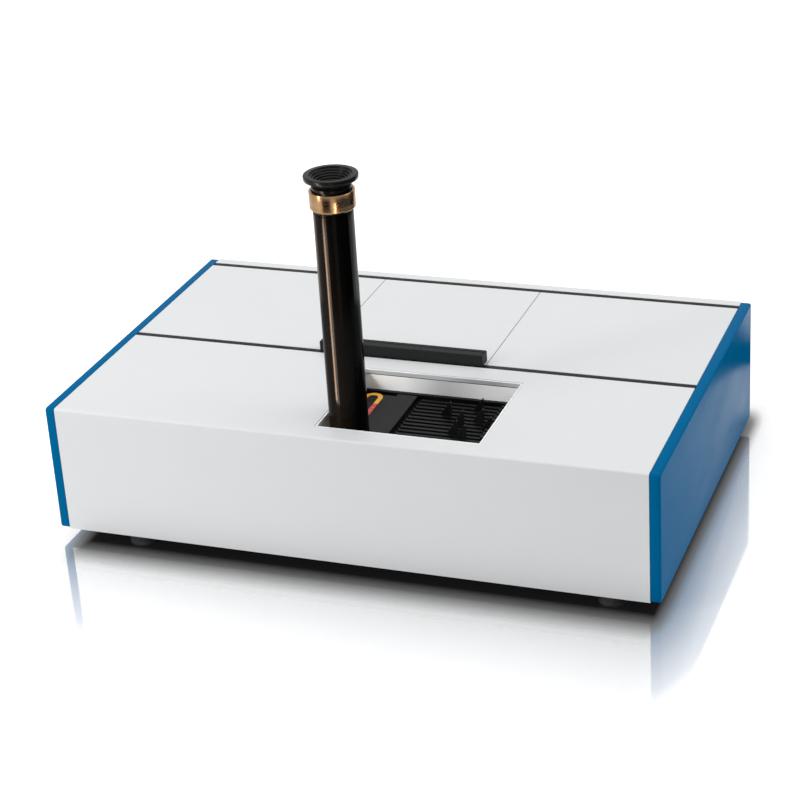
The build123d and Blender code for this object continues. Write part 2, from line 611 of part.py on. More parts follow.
SLOT_WIDTH = RACK_PITCH - BAR_WIDTH
SLOT_X = (SLOT_LEFT_X, ZERO_STOP_X + SLOT_END_CLEARANCE)
PAD_X = (INSIDE_X[0] + 1.0, KEY_PLATE_RIGHT_X - 1.0)
PAD_Y = (INSIDE_Y[0] + 1.0, FRONT + KEY_BACK_SETBACK - KEY_STEP_DEPTH - 1.5)
FLANGE_RADIUS = HOUSING_FLANGE_DIAMETER / 2
BAR_RIGHT_X = INSIDE_X[1] - OPEN_GAP

with BuildPart() as comb_plate:
    block((CASSETTE_X[0], LINER_X[1]), LINER_Y, (COMB_BOTTOM, COMB_FLOOR))
    # Raised pad that carries the key plate, and a border along the back of the well
    block(PAD_X, PAD_Y, (COMB_FLOOR, COMB_TOP))
    block(grown(INSIDE_X, -OPEN_GAP), (INSIDE_Y[1] - OPEN_GAP - BORDER_WIDTH, INSIDE_Y[1] - OPEN_GAP),
          (COMB_FLOOR, COMB_TOP + BORDER_RISE))
    # Wall along the right-hand ends of the bars
    block((INSIDE_X[1] - OPEN_GAP - WALL_WIDTH, INSIDE_X[1] - OPEN_GAP),
          (RACKS_Y[0] - RACK_PITCH / 2, INSIDE_Y[1] - OPEN_GAP),
          (COMB_FLOOR, COMB_TOP + WALL_RISE))
    # One slot over each rack, and a bar with a stepped right end in front of each slot
    for rack_y in RACKS_Y:
        block(SLOT_X, (rack_y - SLOT_WIDTH / 2, rack_y + SLOT_WIDTH / 2),
              (COMB_BOTTOM - 1.0, COMB_TOP), Mode.SUBTRACT)
        bar_y = rack_y - RACK_PITCH / 2 + BAR_WIDTH / 2
        with BuildSketch(Plane.XZ.offset(-bar_y)) as bar_side:
            with BuildLine():
                Polyline((BAR_LEFT_X, COMB_FLOOR), (BAR_LEFT_X, COMB_TOP),
                         (BAR_STEP_X, COMB_TOP), (BAR_STEP_X, COMB_TOP + BAR_STEP_RISE),
                         (BAR_SHOULDER_X, COMB_TOP + BAR_STEP_RISE),
                         (BAR_SHOULDER_X, COMB_TOP + BAR_SHOULDER_RISE),
                         (BAR_RIGHT_X, COMB_TOP + BAR_SHOULDER_RISE),
                         (BAR_RIGHT_X, COMB_FLOOR), close=True)
            make_face()
        extrude(bar_side.sketch, amount=BAR_WIDTH)
    # Clearance round the prism housing's flange
    round_bar(Plane.XY.offset(COMB_BOTTOM - 1.0), [(TUBE_X, TUBE_Y)],
              FLANGE_RADIUS + OPEN_GAP, COMB_HEIGHT + 2.0, Mode.SUBTRACT)
comb_plate.part.label = "comb_plate"
export_step(comb_plate.part, "parts/comb_plate.step")

KEY_X = (INSIDE_X[0] + OPEN_GAP, KEY_PLATE_RIGHT_X)
KEY_Y = (INSIDE_Y[0] + OPEN_GAP, FRONT + KEY_BACK_SETBACK)
KEY_TOP = COMB_TOP + KEY_PLATE_THICKNESS
RING_Y = FRONT + KEY_RING_BACK_SETBACK - KEY_RING_LENGTH / 2

with BuildPart() as key_plate:
    block(KEY_X, KEY_Y, (COMB_TOP, KEY_TOP))
    block((KEY_X[0] - 1.0, KEY_STEP_X), (KEY_Y[1] - KEY_STEP_DEPTH, KEY_Y[1] + 1.0),
          (COMB_TOP - 1.0, KEY_TOP + 1.0), Mode.SUBTRACT)
    round_bar(Plane.XY.offset(COMB_TOP - 1.0), [(TUBE_X, TUBE_Y)],
              TUBE_DIAMETER / 2 + REST_GAP, KEY_PLATE_THICKNESS + 2.0, Mode.SUBTRACT)
    # Shallow track for the coloured ring
    with BuildSketch(Plane.XY.offset(KEY_TOP - KEY_RING_SINK)) as ring_track:
        with Locations((KEY_RING_CENTRE_X, RING_Y)):
            SlotOverall(KEY_RING_LENGTH, KEY_RING_WIDTH, rotation=90)
            SlotOverall(KEY_RING_LENGTH - 2 * KEY_RING_BAND,
                        KEY_RING_WIDTH - 2 * KEY_RING_BAND, rotation=90, mode=Mode.SUBTRACT)
    extrude(ring_track.sketch, amount=KEY_RING_SINK + 1.0, mode=Mode.SUBTRACT)
key_plate.part.label = "key_plate"
export_step(key_plate.part, "parts/key_plate.step")

with BuildPart() as colour_key_ring:
    ring_half = KEY_RING_LENGTH / 2
    with BuildSketch(Plane.XY.offset(KEY_TOP - KEY_RING_SINK)) as ring_face:
        with Locations((KEY_RING_CENTRE_X, RING_Y)):
            SlotOverall(KEY_RING_LENGTH - 2 * SLIDE_GAP, KEY_RING_WIDTH - 2 * SLIDE_GAP,
                        rotation=90)
            SlotOverall(KEY_RING_LENGTH - 2 * KEY_RING_BAND + 2 * SLIDE_GAP,
                        KEY_RING_WIDTH - 2 * KEY_RING_BAND + 2 * SLIDE_GAP, rotation=90,
                        mode=Mode.SUBTRACT)
        # The band is laid in three lengths, parted by hairline joints
        for split in KEY_SPLITS:
            with Locations((KEY_RING_CENTRE_X, RING_Y + ring_half - split)):
                Rectangle(KEY_RING_WIDTH + 2.0, REST_GAP, mode=Mode.SUBTRACT)
    extrude(ring_face.sketch, amount=KEY_RING_SINK + KEY_RING_PROUD)
colour_key_ring.part.label = "colour_key_ring"
export_step(colour_key_ring.part, "parts/colour_key_ring.step")

WINDOW_Z = (FILTER_BEAM_Z - WINDOW_HEIGHT / 2, FILTER_BEAM_Z + WINDOW_HEIGHT / 2)
CASSETTE_IN_X = grown(CASSETTE_X, -CASSETTE_END)
CASSETTE_IN_Y = grown(CASSETTE_Y, -CASSETTE_WALL)
BEAM_X = (TUBE_X - BEAM_WINDOW / 2, TUBE_X + BEAM_WINDOW / 2)

with BuildPart() as cassette_frame:
    block(CASSETTE_X, CASSETTE_Y, (CASSETTE_BOTTOM, COMB_BOTTOM))
    block(CASSETTE_IN_X, CASSETTE_IN_Y, (CASSETTE_FLOOR_TOP, COMB_BOTTOM + 1.0), Mode.SUBTRACT)
    for rack_y in RACKS_Y:
        groove_half = RACK_THICKNESS / 2 + SLIDE_GAP
        block(CASSETTE_IN_X, (rack_y - groove_half, rack_y + groove_half),
              (CASSETTE_FLOOR_TOP - GROOVE_DEPTH, CASSETTE_FLOOR_TOP), Mode.SUBTRACT)
    # Light window through the front and back walls, over the middle of the viewing tube
    block(BEAM_X, grown(CASSETTE_Y, 1.0), grown(WINDOW_Z, 1.0), Mode.SUBTRACT)
    # End legs that stand on the base plate, with outward feet
    block((CASSETTE_X[0], CASSETTE_IN_X[0]), CASSETTE_Y, (FLOOR, CASSETTE_BOTTOM))
    block((CASSETTE_IN_X[1], CASSETTE_X[1]), CASSETTE_Y, (FLOOR, CASSETTE_BOTTOM))
    block((CASSETTE_X[0] - CASSETTE_FOOT, CASSETTE_X[0]), CASSETTE_Y,
          (FLOOR, FLOOR + CASSETTE_END))
    block((CASSETTE_X[1], CASSETTE_X[1] + CASSETTE_FOOT), CASSETTE_Y,
          (FLOOR, FLOOR + CASSETTE_END))
cassette_frame.part.label = "cassette_frame"
export_step(cassette_frame.part, "parts/cassette_frame.step")


def make_rack(number, rack_y, fin_right):
    """Make one filter rack: a thin blade of windows with a pointed fin, and its glasses."""
    first_window = fin_right - (ZERO_STOP_X - TUBE_X)
    window_places = [(first_window + GLASS_PITCH * k, FILTER_BEAM_Z) for k in range(GLASS_COUNT)]
    blade_left = first_window - RACK_END_MARGIN
    with BuildPart() as rack:
        with BuildSketch(Plane.XZ.offset(-rack_y - RACK_THICKNESS / 2)):
            with BuildLine():
                Polyline((blade_left, RACK_BOTTOM), (fin_right, RACK_BOTTOM),
                         (fin_right, COMB_TOP + FIN_RISE),
                         (fin_right - FIN_TIP, COMB_TOP + FIN_RISE),
                         (fin_right - FIN_BASE, COMB_TOP), (fin_right - FIN_BASE, RACK_TOP),
                         (blade_left, RACK_TOP), close=True)
            make_face()
            with Locations(*window_places):
                Rectangle(WINDOW_WIDTH, WINDOW_HEIGHT, mode=Mode.SUBTRACT)
        extrude(amount=RACK_THICKNESS)
    rack.part.label = f"rack_{number:02d}"
    export_step(rack.part, f"parts/rack_{number:02d}.step")
    # The first window is left empty, so that nothing tints the beam at the zero stop
    with BuildPart() as filters:
        with BuildSketch(Plane.XZ.offset(-rack_y - GLASS_THICKNESS / 2)):
            with Locations(*window_places[1:]):
                Rectangle(WINDOW_WIDTH - 2 * SEAT_GAP, WINDOW_HEIGHT - 2 * SEAT_GAP)
        extrude(amount=GLASS_THICKNESS)
    filters.part.label = f"filters_{number:02d}"
    export_step(filters.part, f"parts/filters_{number:02d}.step")


for rack_index, rack_offset in enumerate(FIN_OFFSETS):
    make_rack(rack_index + 1, RACKS_Y[rack_index], ZERO_STOP_X - rack_offset)

# ---------------------------------------------------------------- prism and viewing tube
PRISM_MID_Z = (FILTER_BEAM_Z + SAMPLE_BEAM_Z) / 2
PRISM_Y = (TUBE_Y - PRISM_LEG / 2 - 2.0, TUBE_Y + PRISM_LEG / 2 - 2.0)
PRISM_Z = (PRISM_MID_Z - (PRISM_Y[1] - TUBE_Y), PRISM_MID_Z + (TUBE_Y - PRISM_Y[0]))
HOUSING_X = (TUBE_X - HOUSING_WIDTH / 2, TUBE_X + HOUSING_WIDTH / 2)
HOUSING_Y = (PRISM_Y[0] - HOUSING_FRONT_WALL, CASSETTE_Y[0] - OPEN_GAP)
HOUSING_TOP = COMB_BOTTOM - REST_GAP
TUBE_RADIUS = TUBE_DIAMETER / 2
BORE_RADIUS = TUBE_BORE / 2
SPIGOT_RADIUS = SPIGOT_DIAMETER / 2


def prism_outline(spread):
    """Give the (y, z) outline of the right-angle prism, widened all round by a gap."""
    return ((PRISM_Y[1] + spread, PRISM_Z[0] - 2 * spread), (PRISM_Y[1] + spread, PRISM_Z[1] + spread),
            (PRISM_Y[0] - 2 * spread, PRISM_Z[1] + spread))


with BuildPart() as prism_housing:
    block(HOUSING_X, HOUSING_Y, (FLOOR, HOUSING_TOP))
    round_bar(Plane.XY.offset(HOUSING_TOP), [(TUBE_X, TUBE_Y)], FLANGE_RADIUS,
              COMB_TOP - OPEN_GAP - HOUSING_TOP)
    # The flange steps over the front wall of the cassette
    block(HOUSING_X, (HOUSING_Y[1], HOUSING_Y[1] + FLANGE_RADIUS),
          (HOUSING_TOP - 1.0, COMB_BOTTOM + REST_GAP), Mode.SUBTRACT)
    # Seat for the tube, bore for its spigot, and the light path down to the prism
    turned(((0, TUBE_FOOT), (TUBE_RADIUS + SEAT_GAP, TUBE_FOOT),
            (TUBE_RADIUS + SEAT_GAP, COMB_TOP + 1.0), (0, COMB_TOP + 1.0)), Mode.SUBTRACT)
    turned(((0, PRISM_Z[1] - 1.0), (SPIGOT_BORE / 2, PRISM_Z[1] - 1.0),
            (SPIGOT_BORE / 2, TUBE_FOOT - SPIGOT_LENGTH - REST_GAP),
            (SPIGOT_RADIUS + SEAT_GAP, TUBE_FOOT - SPIGOT_LENGTH - REST_GAP),
            (SPIGOT_RADIUS + SEAT_GAP, TUBE_FOOT + 1.0), (0, TUBE_FOOT + 1.0)), Mode.SUBTRACT)
    # Prism pocket, open to the right for assembly, and the window that faces the beams
    section(prism_outline(REST_GAP), (TUBE_X - PRISM_WIDTH / 2 - REST_GAP, HOUSING_X[1] + 1.0),
            Mode.SUBTRACT)
    block((TUBE_X - PRISM_WIDTH / 2 + 2.0, TUBE_X + PRISM_WIDTH / 2 - 2.0),
          (PRISM_Y[1] - 1.0, HOUSING_Y[1] + 1.0),
          (SAMPLE_BEAM_Z - 4.0, FILTER_BEAM_Z + 4.0), Mode.SUBTRACT)
prism_housing.part.label = "prism_housing"
export_step(prism_housing.part, "parts/prism_housing.step")

with BuildPart() as prism:
    section(prism_outline(0.0), (TUBE_X - PRISM_WIDTH / 2, TUBE_X + PRISM_WIDTH / 2))
prism.part.label = "prism"
export_step(prism.part, "parts/prism.step")

GROOVE_Z = COLLAR_Z[0] - 2.2

with BuildPart() as viewing_tube:
    turned(((SPIGOT_BORE / 2, TUBE_FOOT - SPIGOT_LENGTH), (SPIGOT_RADIUS, TUBE_FOOT - SPIGOT_LENGTH),
            (SPIGOT_RADIUS, TUBE_FOOT), (TUBE_RADIUS, TUBE_FOOT),
            (TUBE_RADIUS, GROOVE_Z), (TUBE_RADIUS - TUBE_GROOVE, GROOVE_Z + 0.3),
            (TUBE_RADIUS - TUBE_GROOVE, GROOVE_Z + 1.1), (TUBE_RADIUS, GROOVE_Z + 1.4),
            (TUBE_RADIUS, TUBE_TOP), (BORE_RADIUS, TUBE_TOP),
            (BORE_RADIUS, TUBE_FOOT + 3.0), (SPIGOT_BORE / 2, TUBE_FOOT + 3.0)))
viewing_tube.part.label = "viewing_tube"
export_step(viewing_tube.part, "parts/viewing_tube.step")

COLLAR_RADIUS = COLLAR_DIAMETER / 2
COLLAR_MOUTH = COLLAR_RADIUS - COLLAR_LIP

with BuildPart() as brass_collar:
    turned(((TUBE_RADIUS + SEAT_GAP, COLLAR_Z[0]), (COLLAR_RADIUS - COLLAR_CHAMFER, COLLAR_Z[0]),
            (COLLAR_RADIUS, COLLAR_Z[0] + COLLAR_CHAMFER), (COLLAR_RADIUS, COLLAR_Z[1]),
            (COLLAR_MOUTH, COLLAR_Z[1]),
            (COLLAR_MOUTH, TUBE_TOP + 0.6), (TUBE_RADIUS + SEAT_GAP, TUBE_TOP + 0.6)))
brass_collar.part.label = "brass_collar"
export_step(brass_collar.part, "parts/brass_collar.step")

BARREL_RADIUS = BORE_RADIUS - RUNNING_GAP
BARREL_HEAD_RADIUS = BARREL_RADIUS - 1.0
BARREL_TOP = EYECUP_TOP - FUNNEL_DEPTH - 1.6
BARREL_BOTTOM = TUBE_TOP - BARREL_GRIP - FOCUS_TRAVEL
LENS_RADIUS = BARREL_RADIUS - BARREL_WALL
LENS_Z = (BARREL_TOP - LENS_DEPTH - LENS_THICKNESS, BARREL_TOP - LENS_DEPTH)

with BuildPart() as eyepiece_barrel:
    # Sliding sleeve with a narrower head for the eyecup and a step that carries the lens
    turned(((LENS_RADIUS - 1.2, BARREL_BOTTOM), (BARREL_RADIUS, BARREL_BOTTOM),
            (BARREL_RADIUS, TUBE_TOP - 1.0), (BARREL_HEAD_RADIUS, TUBE_TOP - 1.0),
            (BARREL_HEAD_RADIUS, BARREL_TOP), (LENS_RADIUS + SEAT_GAP, BARREL_TOP),
            (LENS_RADIUS + SEAT_GAP, LENS_Z[0]), (LENS_RADIUS - 1.2, LENS_Z[0])))
eyepiece_barrel.part.label = "eyepiece_barrel"
export_step(eyepiece_barrel.part, "parts/eyepiece_barrel.step")

with BuildPart() as eyepiece_lens:
    # Plano-convex lens: a disc, flat side down on its step, cut to a sphere on top
    with Locations((TUBE_X, TUBE_Y, LENS_Z[0])):
        Cylinder(LENS_RADIUS, LENS_THICKNESS, align=(Align.CENTER, Align.CENTER, Align.MIN))
    with Locations((TUBE_X, TUBE_Y, LENS_Z[1] - LENS_CROWN_RADIUS)):
        Sphere(LENS_CROWN_RADIUS, mode=Mode.INTERSECT)
eyepiece_lens.part.label = "eyepiece_lens"
export_step(eyepiece_lens.part, "parts/eyepiece_lens.step")


def eyecup_outline():
    """Give the (radius, height) outline of the eyecup, with its stepped funnel."""
    outer = EYECUP_DIAMETER / 2
    rim_bottom = EYECUP_TOP - EYECUP_RIM_HEIGHT
    ridge = EYECUP_RIDGE_DIAMETER / 2
    neck = EYECUP_NECK_DIAMETER / 2
    ridge_bottom = COLLAR_Z[1] + 0.8
    bore = BARREL_HEAD_RADIUS + SEAT_GAP
    eye_hole = EYE_HOLE_DIAMETER / 2
    step_in = (outer - EYECUP_RIM_WIDTH - eye_hole) / FUNNEL_STEPS
    step_down = FUNNEL_DEPTH / FUNNEL_STEPS
    points = [(outer - EYECUP_RIM_WIDTH, EYECUP_TOP), (outer - 0.6, EYECUP_TOP),
              (outer, EYECUP_TOP - 0.6), (outer - 0.4, rim_bottom),
              (neck + 0.8, ridge_bottom + EYECUP_RIDGE_HEIGHT + 0.5),
              (ridge, ridge_bottom + EYECUP_RIDGE_HEIGHT), (ridge, ridge_bottom),
              (neck, ridge_bottom), (neck, TUBE_TOP + 0.9), (bore, TUBE_TOP + 0.9),
              (bore, BARREL_TOP + REST_GAP), (eye_hole, BARREL_TOP + REST_GAP),
              (eye_hole, EYECUP_TOP - FUNNEL_DEPTH)]
    # Each step of the funnel is a ledge and a sloped riser, from the eye hole outwards
    for k in range(FUNNEL_STEPS - 1):
        ledge = eye_hole + (k + 1) * step_in
        height = EYECUP_TOP - FUNNEL_DEPTH + k * step_down
        points.append((ledge - 0.25 * step_in, height + 0.15 * step_down))
        points.append((ledge, height + step_down))
    return points


with BuildPart() as eyecup:
    turned(eyecup_outline())
eyecup.part.label = "eyecup"
export_step(eyecup.part, "parts/eyecup.step")

# ---------------------------------------------------------------- sample chamber
CHAMBER_IN_X = grown(CHAMBER_X, -CHAMBER_WALL)
CHAMBER_IN_Y = grown(CHAMBER_Y, -CHAMBER_WALL)
CHAMBER_FLOOR = FLOOR + CHAMBER_WALL
FLANGE_Z = (CARRY - CHAMBER_WALL, CARRY)

with BuildPart() as chamber_box:
    block(CHAMBER_X, CHAMBER_Y, (FLOOR, FLANGE_Z[0]))
    # Side flanges that carry the edges of the lid and of both deck panels
    block(grown(CHAMBER_X, CHAMBER_FLANGE), CHAMBER_Y, FLANGE_Z)
    block(CHAMBER_IN_X, CHAMBER_IN_Y, (CHAMBER_FLOOR, CARRY + 1.0), Mode.SUBTRACT)
    block(CHAMBER_IN_X, grown(CHAMBER_Y, 1.0), (FLANGE_Z[0], CARRY + 1.0), Mode.SUBTRACT)
    # Windows for both beams in the front and back walls
    for beam_z in (FILTER_BEAM_Z, SAMPLE_BEAM_Z):
        block(BEAM_X, grown(CHAMBER_Y, 1.0), (beam_z - 4.0, beam_z + 4.0), Mode.SUBTRACT)
chamber_box.part.label = "chamber_box"
export_step(chamber_box.part, "parts/chamber_box.step")

CELL_TOP = FILTER_BEAM_Z - 5.0
TROUGH_FLOOR = CELL_TOP - TROUGH_CELL_HEIGHT
TROUGH_OUT = TROUGH_WIDTH / 2
TROUGH_IN = TROUGH_OUT - TROUGH_WALL

with BuildPart() as cell_trough:
    # Open channel for the sample cell, on two long legs that stand on the chamber floor
    with BuildSketch(Plane.XZ.offset(-CHAMBER_IN_Y[0] - REST_GAP)) as trough_end:
        with BuildLine():
            Polyline((TUBE_X - TROUGH_OUT, CHAMBER_FLOOR), (TUBE_X - TROUGH_IN, CHAMBER_FLOOR),
                     (TUBE_X - TROUGH_IN, TROUGH_FLOOR - TROUGH_WALL),
                     (TUBE_X + TROUGH_IN, TROUGH_FLOOR - TROUGH_WALL),
                     (TUBE_X + TROUGH_IN, CHAMBER_FLOOR), (TUBE_X + TROUGH_OUT, CHAMBER_FLOOR),
                     (TUBE_X + TROUGH_OUT, TROUGH_FLOOR + TROUGH_SIDE),
                     (TUBE_X + TROUGH_IN, TROUGH_FLOOR + TROUGH_SIDE),
                     (TUBE_X + TROUGH_IN, TROUGH_FLOOR), (TUBE_X - TROUGH_IN, TROUGH_FLOOR),
                     (TUBE_X - TROUGH_IN, TROUGH_FLOOR + TROUGH_SIDE),
                     (TUBE_X - TROUGH_OUT, TROUGH_FLOOR + TROUGH_SIDE), close=True)
        make_face()
    extrude(trough_end.sketch,
            amount=-(CHAMBER_IN_Y[1] - CHAMBER_IN_Y[0] - 2 * REST_GAP))
cell_trough.part.label = "cell_trough"
export_step(cell_trough.part, "parts/cell_trough.step")

# ---------------------------------------------------------------- lamps behind the chamber
LAMP_Y = (CHAMBER_Y[1] + REAR_FACE - SHEET) / 2 - 1.0
LAMP_Z = PRISM_MID_Z
LAMP_CENTRES = (TUBE_X - LAMP_SPREAD / 2, TUBE_X + LAMP_SPREAD / 2)
BACKPLATE_Y = (TRAY_Y[1] - 2 * SHEET - OPEN_GAP, TRAY_Y[1] - SHEET - OPEN_GAP)
TRAY_END = LAMP_SPREAD / 2 + LAMP_POST

with BuildPart() as lamp_bracket:
    block((TUBE_X - TRAY_END, TUBE_X + TRAY_END), (CHAMBER_Y[1] + 1.0, BACKPLATE_Y[1]),
          (FLOOR, FLOOR + 2.0))
    # Upright that carries the white references, and one socket post for each lamp
    block((TUBE_X - REFERENCE_WIDTH / 2 - 2.0, TUBE_X + REFERENCE_WIDTH / 2 + 2.0), BACKPLATE_Y,
          (FLOOR + 2.0, FILTER_BEAM_Z + REFERENCE_HEIGHT))
    for side, lamp_x in zip((-1, 1), LAMP_CENTRES):
        post_x = sorted((lamp_x, lamp_x + side * LAMP_POST))
        block(post_x, (LAMP_Y - LAMP_POST / 2, LAMP_Y + LAMP_POST / 2),
              (FLOOR + 2.0, LAMP_Z + LAMP_POST / 2))
lamp_bracket.part.label = "lamp_bracket"
export_step(lamp_bracket.part, "parts/lamp_bracket.step")

with BuildPart() as lamps:
    for side, lamp_x in zip((-1, 1), LAMP_CENTRES):
        # Capsule lamp lying along X: a short base in the post's face, then a blunt-nosed bulb
        lamp_plane = Plane(origin=(lamp_x, LAMP_Y, LAMP_Z), x_dir=(-side, 0, 0), z_dir=(0, 1, 0))
        bulb = LAMP_DIAMETER / 2
        with BuildSketch(lamp_plane):
            with BuildLine():
                Polyline((0, 0), (0, bulb - 1.5), (LAMP_BASE, bulb - 1.5), (LAMP_BASE, bulb),
                         (LAMP_LENGTH - bulb / 2, bulb), (LAMP_LENGTH, bulb / 2),
                         (LAMP_LENGTH, 0), close=True)
            make_face()
        revolve(axis=Axis((lamp_x, LAMP_Y, LAMP_Z), (1, 0, 0)))
lamps.part.label = "lamps"
export_step(lamps.part, "parts/lamps.step")

with BuildPart() as white_references:
    for beam_z in (FILTER_BEAM_Z, SAMPLE_BEAM_Z):
        block((TUBE_X - REFERENCE_WIDTH / 2, TUBE_X + REFERENCE_WIDTH / 2),
              (BACKPLATE_Y[0] - REFERENCE_THICKNESS, BACKPLATE_Y[0]),
              (beam_z - REFERENCE_HEIGHT / 2, beam_z + REFERENCE_HEIGHT / 2))
    chamfer(white_references.faces().group_by(Axis.Y)[0].edges(), 0.6)
white_references.part.label = "white_references"
export_step(white_references.part, "parts/white_references.step")

# ---------------------------------------------------------------- mains side
CORE_X = (TRANSFORMER_X - CORE_WIDTH / 2, TRANSFORMER_X + CORE_WIDTH / 2)
CORE_Y = (TRANSFORMER_Y - CORE_DEPTH / 2, TRANSFORMER_Y + CORE_DEPTH / 2)
CORE_Z = (FLOOR, FLOOR + CORE_HEIGHT)

COIL_X = grown((CORE_X[0] + CORE_LIMB, CORE_X[1] - CORE_LIMB), -REST_GAP)
COIL_Z = grown(CORE_Z, -CORE_LIMB - REST_GAP)

with BuildPart() as core:
    # Laminated shell core: three upright limbs between two yokes, on a mounting foot
    block(CORE_X, CORE_Y, CORE_Z)
    for window_x in ((CORE_X[0] + CORE_LIMB, TRANSFORMER_X - CORE_LIMB),
                     (TRANSFORMER_X + CORE_LIMB, CORE_X[1] - CORE_LIMB)):
        block(window_x, grown(CORE_Y, 1.0), grown(CORE_Z, -CORE_LIMB), Mode.SUBTRACT)
    block(grown(CORE_X, 10.0), grown(CORE_Y, -5.0), (FLOOR, FLOOR + 2.0))

with BuildPart() as coil:
    block(COIL_X, grown(CORE_Y, 9.0), COIL_Z)
    fillet(coil.edges().filter_by(Axis.Z), 5.0)
    block((TRANSFORMER_X - CORE_LIMB - REST_GAP, TRANSFORMER_X + CORE_LIMB + REST_GAP),
          grown(CORE_Y, REST_GAP), grown(COIL_Z, 1.0), Mode.SUBTRACT)

with BuildPart() as transformer:
    add(core.part)
    add(coil.part)
transformer.part.label = "transformer"
export_step(transformer.part, "parts/transformer.step")

SOCKET_X = INLET_X - MODULE_WIDTH / 2 + 6.5 + SOCKET_WIDTH / 2
ROCKER_X = INLET_X + MODULE_WIDTH / 2 - 8.0 - ROCKER_WIDTH / 2
FLANGE_FACE = REAR_FACE + MODULE_FLANGE
SOCKET_Y = (FLANGE_FACE - SOCKET_DEPTH, FLANGE_FACE + 1.0)
ROCKER_CUT = (ROCKER_WIDTH / 2 + OPEN_GAP, ROCKER_HEIGHT / 2 + OPEN_GAP)
ROCKER_HALF = ROCKER_HEIGHT / 2 - 0.8

with BuildPart() as power_inlet:
    # Moulded inlet with its own switch well: a flange on the rear face and a body behind it
    with BuildSketch(Plane.XZ.offset(-FLANGE_FACE)) as module_flange:
        with Locations((INLET_X, INLET_Z)):
            RectangleRounded(MODULE_WIDTH, MODULE_HEIGHT, 3.0)
    extrude(module_flange.sketch, amount=MODULE_FLANGE)
    block(grown(MODULE_CUT_X, -REST_GAP), (FLANGE_FACE - MODULE_DEPTH, REAR_FACE),
          grown(MODULE_CUT_Z, -REST_GAP))
    with BuildSketch(Plane.XZ.offset(-SOCKET_Y[1])) as socket_mouth:
        with Locations((SOCKET_X, INLET_Z)):
            RectangleRounded(SOCKET_WIDTH, SOCKET_HEIGHT, 2.0)
    extrude(socket_mouth.sketch, amount=SOCKET_Y[1] - SOCKET_Y[0], mode=Mode.SUBTRACT)
    block((ROCKER_X - ROCKER_CUT[0], ROCKER_X + ROCKER_CUT[0]),
          (FLANGE_FACE - 12.0, FLANGE_FACE + 1.0),
          (INLET_Z - ROCKER_CUT[1], INLET_Z + ROCKER_CUT[1]), Mode.SUBTRACT)
    # Three flat contact blades on the socket floor
    for blade_x, blade_z in ((-7.0, -2.0), (7.0, -2.0), (0.0, 2.0)):
        block((SOCKET_X + blade_x - 1.0, SOCKET_X + blade_x + 1.0),
              (SOCKET_Y[0] - 1.0, SOCKET_Y[0] + PIN_LENGTH),
              (INLET_Z + blade_z - 2.0, INLET_Z + blade_z + 2.0))
    # Bore for the rocker's pivot stubs
    round_bar(Plane.YZ.offset(ROCKER_X - ROCKER_CUT[0] - 1.5),
              [(FLANGE_FACE - ROCKER_PIVOT_DEPTH, INLET_Z)], ROCKER_STUB_RADIUS + RUNNING_GAP,
              2 * ROCKER_CUT[0] + 3.0, Mode.SUBTRACT)
power_inlet.part.label = "power_inlet"
export_step(power_inlet.part, "parts/power_inlet.step")

TILT_DIRECTION = Vector(0, 1, 0).rotate(Axis.X, -ROCKER_TILT_DEG)


def rocker_plane(x):
    """Give the rocker's side plane at one X, tilted about the pivot to its rest position."""
    return Plane(origin=(x, FLANGE_FACE - ROCKER_PIVOT_DEPTH, INLET_Z), x_dir=TILT_DIRECTION,
                 z_dir=(1, 0, 0))


with BuildPart() as switch_rocker:
    # Rocker seen from the side: a shallow V face over a tapered back, on two pivot stubs
    face = ROCKER_PIVOT_DEPTH
    with BuildSketch(rocker_plane(ROCKER_X - ROCKER_WIDTH / 2)) as rocker_side:
        with BuildLine():
            Polyline((face + 0.6, 0), (face + 2.0, ROCKER_HALF), (face - 2.0, ROCKER_HALF),
                     (face - 8.5, 3.0), (face - 8.5, -3.0), (face - 2.0, -ROCKER_HALF),
                     (face + 2.0, -ROCKER_HALF), close=True)
        make_face()
    extrude(rocker_side.sketch, amount=ROCKER_WIDTH)
    round_bar(rocker_plane(ROCKER_X - ROCKER_CUT[0] - 1.2), [(0, 0)], ROCKER_STUB_RADIUS,
              2 * ROCKER_CUT[0] + 2.4)
switch_rocker.part.label = "switch_rocker"
export_step(switch_rocker.part, "parts/switch_rocker.step")
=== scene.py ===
"""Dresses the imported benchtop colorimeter: studio, camera, finishes and detailed pieces.

Metres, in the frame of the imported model: +X right, +Y back, +Z up, standing on Z = 0.
"""
import json
import logging
import math
from dataclasses import dataclass
from enum import Enum
from typing import Protocol, Sequence

import bpy
import numpy as np
from mathutils import Matrix, Vector


